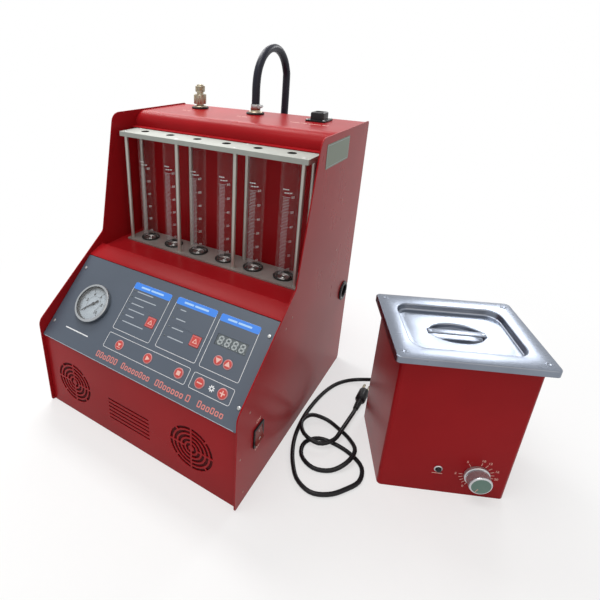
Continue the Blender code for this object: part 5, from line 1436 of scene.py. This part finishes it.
class TESTER_OT_keys(bpy.types.Operator):
    """Round and square keys, each a low dome with a pale rim and a plain mark"""

    bl_idname = "tester.keys"
    bl_label = "Keys"

    def execute(self, context):
        for name, (across, up, radius, mark) in KEY_MARKS.items():
            seat = on_panel(across, up)
            cap, rim, crown = self.round_key(radius) if radius else self.square_key()
            add(f"{name}_cap", cap, seat, name, "key_plastic", [name])
            icon = cut_out(MARK_OUTLINES[mark], crown - 0.06, crown + 0.05)
            add(f"{name}_rim", rim, seat, name, "rim_ink")
            add(f"{name}_mark", icon, seat, name, "rose_ink")
        return {"FINISHED"}

    def round_key(self, radius):
        """Cap and rim of a round key, and the level of its crown."""
        cap = turned([
            (0, 0.92), (radius * 0.55, 0.88), (radius * 0.85, 0.74), (radius * 0.96, 0.50), (radius, 0.15),
            (radius, -2.3), (radius + 0.9, -2.3), (radius + 0.9, -3.3), (0, -3.3),
        ], 56)
        rim = turned([
            (radius * share, level)
            for share, level in (
                (0.83, 0.70), (0.84, 0.84), (0.92, 0.70), (0.99, 0.42), (1.01, 0.10), (0.90, 0.10),
            )
        ], 56, True)
        return cap, rim, 0.95

    def square_key(self):
        """Cap and rim of a square key, and the level of its crown."""
        rings = []
        for inset, level in (
            (-0.9, -3.3), (-0.9, -2.3), (0.0, -2.3), (0.0, 0.35), (0.15, 0.6), (0.5, 0.78), (1.2, 0.84),
        ):
            side = SQUARE_KEY - 2 * inset
            outline = rounded_box(side, side, max(1.0, 1.4 - inset * 0.2))
            rings.append([(x * MM, y * MM, level * MM) for x, y in outline])
        rim = printed(rounded_box(14.4, 14.4, 1.2), rounded_box(13.2, 13.2, 0.9), level=0.80)
        return loft(rings), rim, 0.86


DISPLAY_PLACE = (139.2, 104.0, -0.4)
DIGIT_PITCH = 12.2
DIGIT_LEAN = 0.10
LEVEL_SEGMENT = ((-2.9, 0), (-1.7, 1.2), (1.7, 1.2), (2.9, 0), (1.7, -1.2), (-1.7, -1.2))
UPRIGHT_SEGMENT = ((0, 2.7), (1.2, 1.5), (1.2, -1.5), (0, -2.7), (-1.2, -1.5), (-1.2, 1.5))


class TESTER_OT_display(bpy.types.Operator):
    """Smoked display with four unlit digits of seven segments each"""

    bl_idname = "tester.display"
    bl_label = "Display"

    def execute(self, context):
        dress("smoked_window", "display", bevel=0.2)
        segments = [(LEVEL_SEGMENT, 0, level) for level in (-5.6, 0.0, 5.6)]
        segments += [(UPRIGHT_SEGMENT, side, level) for side in (-3.2, 3.2) for level in (-2.8, 2.8)]
        bars = []
        for digit in range(4):
            middle = (digit - 1.5) * DIGIT_PITCH
            for outline, side, level in segments:
                bars.append([(middle + side + x + DIGIT_LEAN * (level + y), level + y) for x, y in outline])
            bars.append(arc(middle + 5.4, -6.0, 0.7, 0, 330, 11))
        digits_print = printed(*bars, thick=0.08)
        add("display_digits", digits_print, on_panel(*DISPLAY_PLACE), "cabinet", "digit_grey")
        return {"FINISHED"}


class TESTER_OT_side_fittings(bpy.types.Operator):
    """Rocker switch and round inlet in the right side plate"""

    bl_idname = "tester.side_fittings"
    bl_label = "Side fittings"

    def execute(self, context):
        seat = on_side(*SWITCH_PLACE, GAP)
        collar = cut_out([rounded_box(28, 34, 1.5), rounded_box(22.2, 27.8, 0.6)], 0.0, 2.0)
        walls = cut_out([rounded_box(25.4, 31.0, 0.5), rounded_box(22.2, 27.8, 0.4)], -9.5, 1.0)
        back = block((-12.7, -15.5, -18.0), (12.7, 15.5, -9.5))
        add(
            "switch_bezel", [collar, walls, back], seat, "cabinet", "black_plastic",
            ["switch_frame"], 0.35,
        )
        profile = [(-3.0, -13.0), (4.2, -13.0), (4.9, -12.5), (5.0, -11.8)]
        for step in range(1, 12):
            along = -11.8 + 23.6 * step / 12
            profile.append((3.2 + 1.8 * (along / 11.8) ** 2, along))
        profile += [(5.0, 11.8), (4.9, 12.5), (4.2, 13.0), (-3.0, 13.0)]
        rocker = cut_out([profile], -10.8, 10.8)
        pivot = placed((SIDE_FACE + GAP - 1.5 * MM, *SWITCH_PLACE), X_AXIS, Z_AXIS)
        tilted = pivot @ moved(turn=8)
        add("rocker", rocker, tilted, "rocker", "rocker_plastic", ["switch_rocker"], 0.4)
        face = tilted @ placed((0, 0, 0), -Z_AXIS, Y_AXIS)
        dash = cut_out([rounded_box(1.0, 4.4, 0.3, 0, 7.0)], 3.85, 4.02)
        hoop = cut_out([arc(0, -7.2, 2.3, 0, 350, 35), arc(0, -7.2, 1.6, 350, 0, 35)], 3.88, 4.05)
        add("rocker_marks", [dash, hoop], face, "rocker", "white_ink")
        legend = [
            (digits(word, 8.0, 0.06, 0.25), moved(0, height, 0.05))
            for word, height in (("ON", 25.5), ("OFF", -25.5))
        ]
        add("switch_legend", legend, on_side(*SWITCH_PLACE), "cabinet", "cream_ink")

        seat = on_side(*INLET_PLACE, GAP)
        shell = turned([
            (0, -11.0), (12.5, -11.0), (12.5, 2.2), (13.2, 2.9), (14.4, 3.0), (17.8, 3.0), (18.6, 2.6),
            (19.0, 1.8), (19.0, 0.0), (15.5, 0.0), (15.5, -20.0), (0, -20.0),
        ], 72)
        rib = block((-1.6, -12.4, -11.0), (1.6, -10.4, 1.6), 0.3)
        add(
            "inlet_shell", [shell, rib], seat, "cabinet", "black_plastic", ["side_socket"],
        )
        pins = [
            (block((-0.9, -2.4, -11.0), (0.9, 2.4, -2.2), 0.3), moved(x, y))
            for x, y in ((-5.4, -1.6), (5.4, -1.6), (0, 4.6))
        ]
        add("inlet_pins", pins, seat, "cabinet", "worn_nickel")
        heads = [(pan_head(1.5, 0.9), moved(*polar(16.2, turn), 2.95)) for turn in (0.6, 0.6 + math.pi)]
        add("inlet_screws", heads, seat, "cabinet", "zinc_screw")
        return {"FINISHED"}


LID_WIDTH = 204
LID_DEPTH = 164
LID_LEVEL = 244.8
# Rings of the pressed lid from its edge inwards: inset, level from the lid's top, corner radius
LID_TOP = (
    (0.0, -10.0, 7.0), (0.0, -1.9, 7.0), (0.25, -0.95, 7.0), (0.9, -0.3, 6.6), (1.9, 0.0, 6.2),
    (14.0, 0.0, 12.0), (24.2, 0.0, 20.0), (25.0, -0.2, 20.0), (25.7, -0.8, 20.0), (26.0, -1.7, 20.0),
    (26.4, -7.6, 20.0), (26.8, -8.8, 20.0), (27.6, -9.6, 20.0), (28.8, -10.0, 20.0), (36.0, -9.9, 18.0),
)
LID_UNDERSIDE = (
    (1.0, -10.0, 6.0), (1.0, -2.4, 6.0), (1.9, -1.1, 5.6), (24.0, -1.1, 20.0), (25.0, -2.0, 20.0),
    (25.4, -8.0, 20.0), (26.2, -10.2, 20.0), (28.8, -11.0, 20.0),
)
# Ovals of the dish in the lid, from its edge inwards: half width, half depth, level from the lid's top
LID_DISH = (
    (40.2, 26.2, -10.0), (39.0, 25.0, -10.2), (38.2, 24.2, -10.9), (37.8, 23.8, -12.0), (37.5, 23.5, -15.2),
    (36.9, 22.9, -16.3), (35.6, 21.6, -17.0), (20.0, 12.0, -17.0),
)
DISH_UNDERSIDE = (
    (39.2, 25.2, -11.2), (38.5, 24.5, -12.4), (38.5, 24.5, -17.0), (37.5, 23.5, -18.0), (20.0, 12.0, -18.0),
)


class TESTER_OT_bath(bpy.types.Operator):
    """Ultrasonic bath: painted housing, steel rim and tank, and a pressed lid with its lifting bar"""

    bl_idname = "tester.bath"
    bl_label = "Ultrasonic bath"

    def execute(self, context):
        edge = context.scene.tester_sizes.edge
        dress("red_powder_coat", "bath_housing", bevel=edge)
        dress("tank_steel", "bath_tank", bevel=0.2)
        rings = [self.oval(*ring) for ring in reversed(LID_DISH)]
        rings += [self.frame_ring(*ring) for ring in (*reversed(LID_TOP), *LID_UNDERSIDE)]
        rings += [self.oval(*ring) for ring in DISH_UNDERSIDE]
        bar = block((-40.5, -5.5, LID_LEVEL - 10.55), (40.5, 5.5, LID_LEVEL - 8.4), 0.7)
        parts = [loft(rings), bar]
        for side in (-1, 1):
            weld = turned([(0, 0.16), (2.0, 0.14), (2.6, 0.05), (3.0, -0.05), (0, -0.05)], 28)
            parts.append((weld, moved(side * 37.0, 0, LID_LEVEL - 8.4)))
            for end in (-1, 1):
                dimple = turned([
                    (0, 0.20), (1.9, 0.20), (2.4, 0.42), (3.3, 0.42), (4.0, 0.12), (4.3, -0.04), (0, -0.04)
                ], 32)
                parts.append((dimple, moved(side * 88.5, end * 69.0, LID_LEVEL)))
        middle = BATH @ Matrix.Translation((0, BATH_DEPTH / 2, 0))
        add("lid_shell", parts, middle, "lid", "pressed_stainless", ["bath_lid"])
        return {"FINISHED"}

    def frame_ring(self, inset, level, corner):
        """Rounded rectangle of the lid's outline, in metres."""
        outline = rounded_box(LID_WIDTH - 2 * inset, LID_DEPTH - 2 * inset, corner, steps=11)
        return [(x * MM, y * MM, (LID_LEVEL + level) * MM) for x, y in outline]

    def oval(self, across, deep, level):
        """Ellipse with as many points as a ring of the lid's outline, in metres."""
        turns = [math.pi / 2 * (quarter + (step + 0.5) / 12) for quarter in range(4) for step in range(12)]
        return [(across * MM * math.cos(t), deep * MM * math.sin(t), (LID_LEVEL + level) * MM) for t in turns]


TIMER_PLACE = (44, 42)
TIMER_START = 240
KNURL_RADIUS = 16.2
PILOT_PLACE = (-10, 46)
# Marks of the timer's scale: turn in degrees and number, where the mark has one
TIMER_TICKS = (
    (240, "0"), (226, ""), (212, ""), (197, ""), (182, "2"), (125, "5"), (81, "10"), (60, "12"),
    (40, ""), (22, "16"), (6, ""), (-8, "20"), (-24, ""), (-42, "25"), (-60, "30"),
)


class TESTER_OT_bath_front(bpy.types.Operator):
    """Timer knob of the bath with its knurled rim and printed scale, and the pilot beside it"""

    bl_idname = "tester.bath_front"
    bl_label = "Bath timer"

    def execute(self, context):
        sizes = context.scene.tester_sizes
        seat = on_bath_front(*TIMER_PLACE)
        body = turned([
            (0, 19.3), (13.9, 19.3), (14.8, 19.1), (15.4, 18.5), (15.6, 17.7), (15.2, 17.5), (15.2, 5.2),
            (15.8, 4.9), (17.2, 4.6), (17.8, 4.0), (17.8, 0.3), (3.0, 0.3), (3.0, -10.0), (0, -10.0),
        ], 96)
        high, low = KNURL_RADIUS, KNURL_RADIUS - sizes.knurl_depth
        ridges = toothed(sizes.knurls, (0.0, high), (0.3, high), (0.5, low), (0.8, low))
        grip = cut_out([ridges, arc(0, 0, 15.0, 360, 4, 89)], 5.6, 17.2)
        add(
            "timer_knob", [body, grip], seat, "timer_knob", "turned_steel",
            ["bath_timer_knob"],
        )
        turning = seat @ Matrix.Rotation(math.radians(TIMER_START) - math.pi / 2, 4, "Z")
        face = turned([(0, 19.42), (13.0, 19.42), (13.5, 19.34), (13.6, 19.2), (0, 19.2)], 72)
        add("knob_face", face, turning, "timer_knob", "knob_face")
        line = printed(rounded_box(1.1, 6.2, 0.4, 0, 9.4), level=19.42, thick=0.08)
        add("knob_pointer", line, turning, "timer_knob", "cream_ink")
        marks = []
        for turn, number in TIMER_TICKS:
            marks.append((printed(tick(19.0, 24.4, 1.0)), moved(turn=turn)))
            if number:
                place = polar(28.6, math.radians(turn))
                marks.append((digits(number, 5.6, 0.08, 0.12), moved(*place, 0.07)))
        add("timer_scale", marks, seat, "bath", "cream_ink")

        seat = on_bath_front(*PILOT_PLACE)
        ring = turned([
            (0, -6.0), (4.0, -6.0), (4.0, 0.05), (5.9, 0.05), (5.9, 0.9), (5.4, 1.5), (4.9, 1.7), (4.5, 1.5),
            (4.3, 1.0), (0, 1.0),
        ], 48)
        add("pilot_ring", ring, seat, "bath", "turned_steel")
        cap = turned([
            (0, 5.2), (1.7, 5.1), (3.0, 4.6), (3.8, 3.7), (4.15, 2.6), (4.2, 1.02), (0, 1.02)
        ], 40)
        add("pilot_cap", cap, seat, "bath", "black_plastic")
        rule = printed(rounded_box(15, 1.3, 0.5, 0, -9.0))
        add("pilot_rule", rule, seat, "bath", "cream_ink")
        return {"FINISHED"}


class TESTER_OT_inside(bpy.types.Operator):
    """Parts inside cabinet and bath: board, pump, supply, liquid tank and transducer"""

    bl_idname = "tester.inside"
    bl_label = "Inside"

    def execute(self, context):
        dress("solder_mask", "control_board", bevel=0.1)
        dress("tank_steel", "liquid_tank", bevel=0.3)
        dress("anodised_aluminium", "fuel_pump", "bath_transducer", bevel=0.4)
        dress("grey_sheet", "power_supply", bevel=0.2)
        return {"FINISHED"}


class TESTER_PT_looks(bpy.types.Panel):
    """Steps of the looks, with the sizes and colours that they read"""

    bl_idname = "TESTER_PT_looks"
    bl_label = "Injector tester"
    bl_space_type = "VIEW_3D"
    bl_region_type = "UI"
    bl_category = "Injector tester"

    def draw(self, context):
        layout = self.layout
        for group in (context.scene.tester_colours, context.scene.tester_sizes):
            for name in group.bl_rna.properties.keys():
                if name not in ("rna_type", "name"):
                    layout.prop(group, name)
        for step in STEPS:
            layout.operator(step.bl_idname)


STEPS = (
    TESTER_OT_stage, TESTER_OT_sheet_metal, TESTER_OT_tube_bay, TESTER_OT_top_fittings,
    TESTER_OT_return_hose, TESTER_OT_control_plate, TESTER_OT_gauge, TESTER_OT_keys, TESTER_OT_display,
    TESTER_OT_side_fittings, TESTER_OT_bath, TESTER_OT_bath_front, TESTER_OT_bath_lead, TESTER_OT_inside,
)
CLASSES = (TesterColours, TesterSizes, *STEPS, TESTER_PT_looks)


def register():
    for made in CLASSES:
        bpy.utils.register_class(made)
    bpy.types.Scene.tester_colours = PointerProperty(type=TesterColours)
    bpy.types.Scene.tester_sizes = PointerProperty(type=TesterSizes)


def unregister():
    del bpy.types.Scene.tester_sizes
    del bpy.types.Scene.tester_colours
    for made in reversed(CLASSES):
        bpy.utils.unregister_class(made)


def main():
    register()
    tester = bpy.ops.tester
    for step in (
        tester.stage, tester.sheet_metal, tester.tube_bay, tester.top_fittings, tester.return_hose,
        tester.control_plate, tester.gauge, tester.keys, tester.display, tester.side_fittings, tester.bath,
        tester.bath_front, tester.bath_lead, tester.inside,
    ):
        step()


if __name__ == "__main__":
    main()
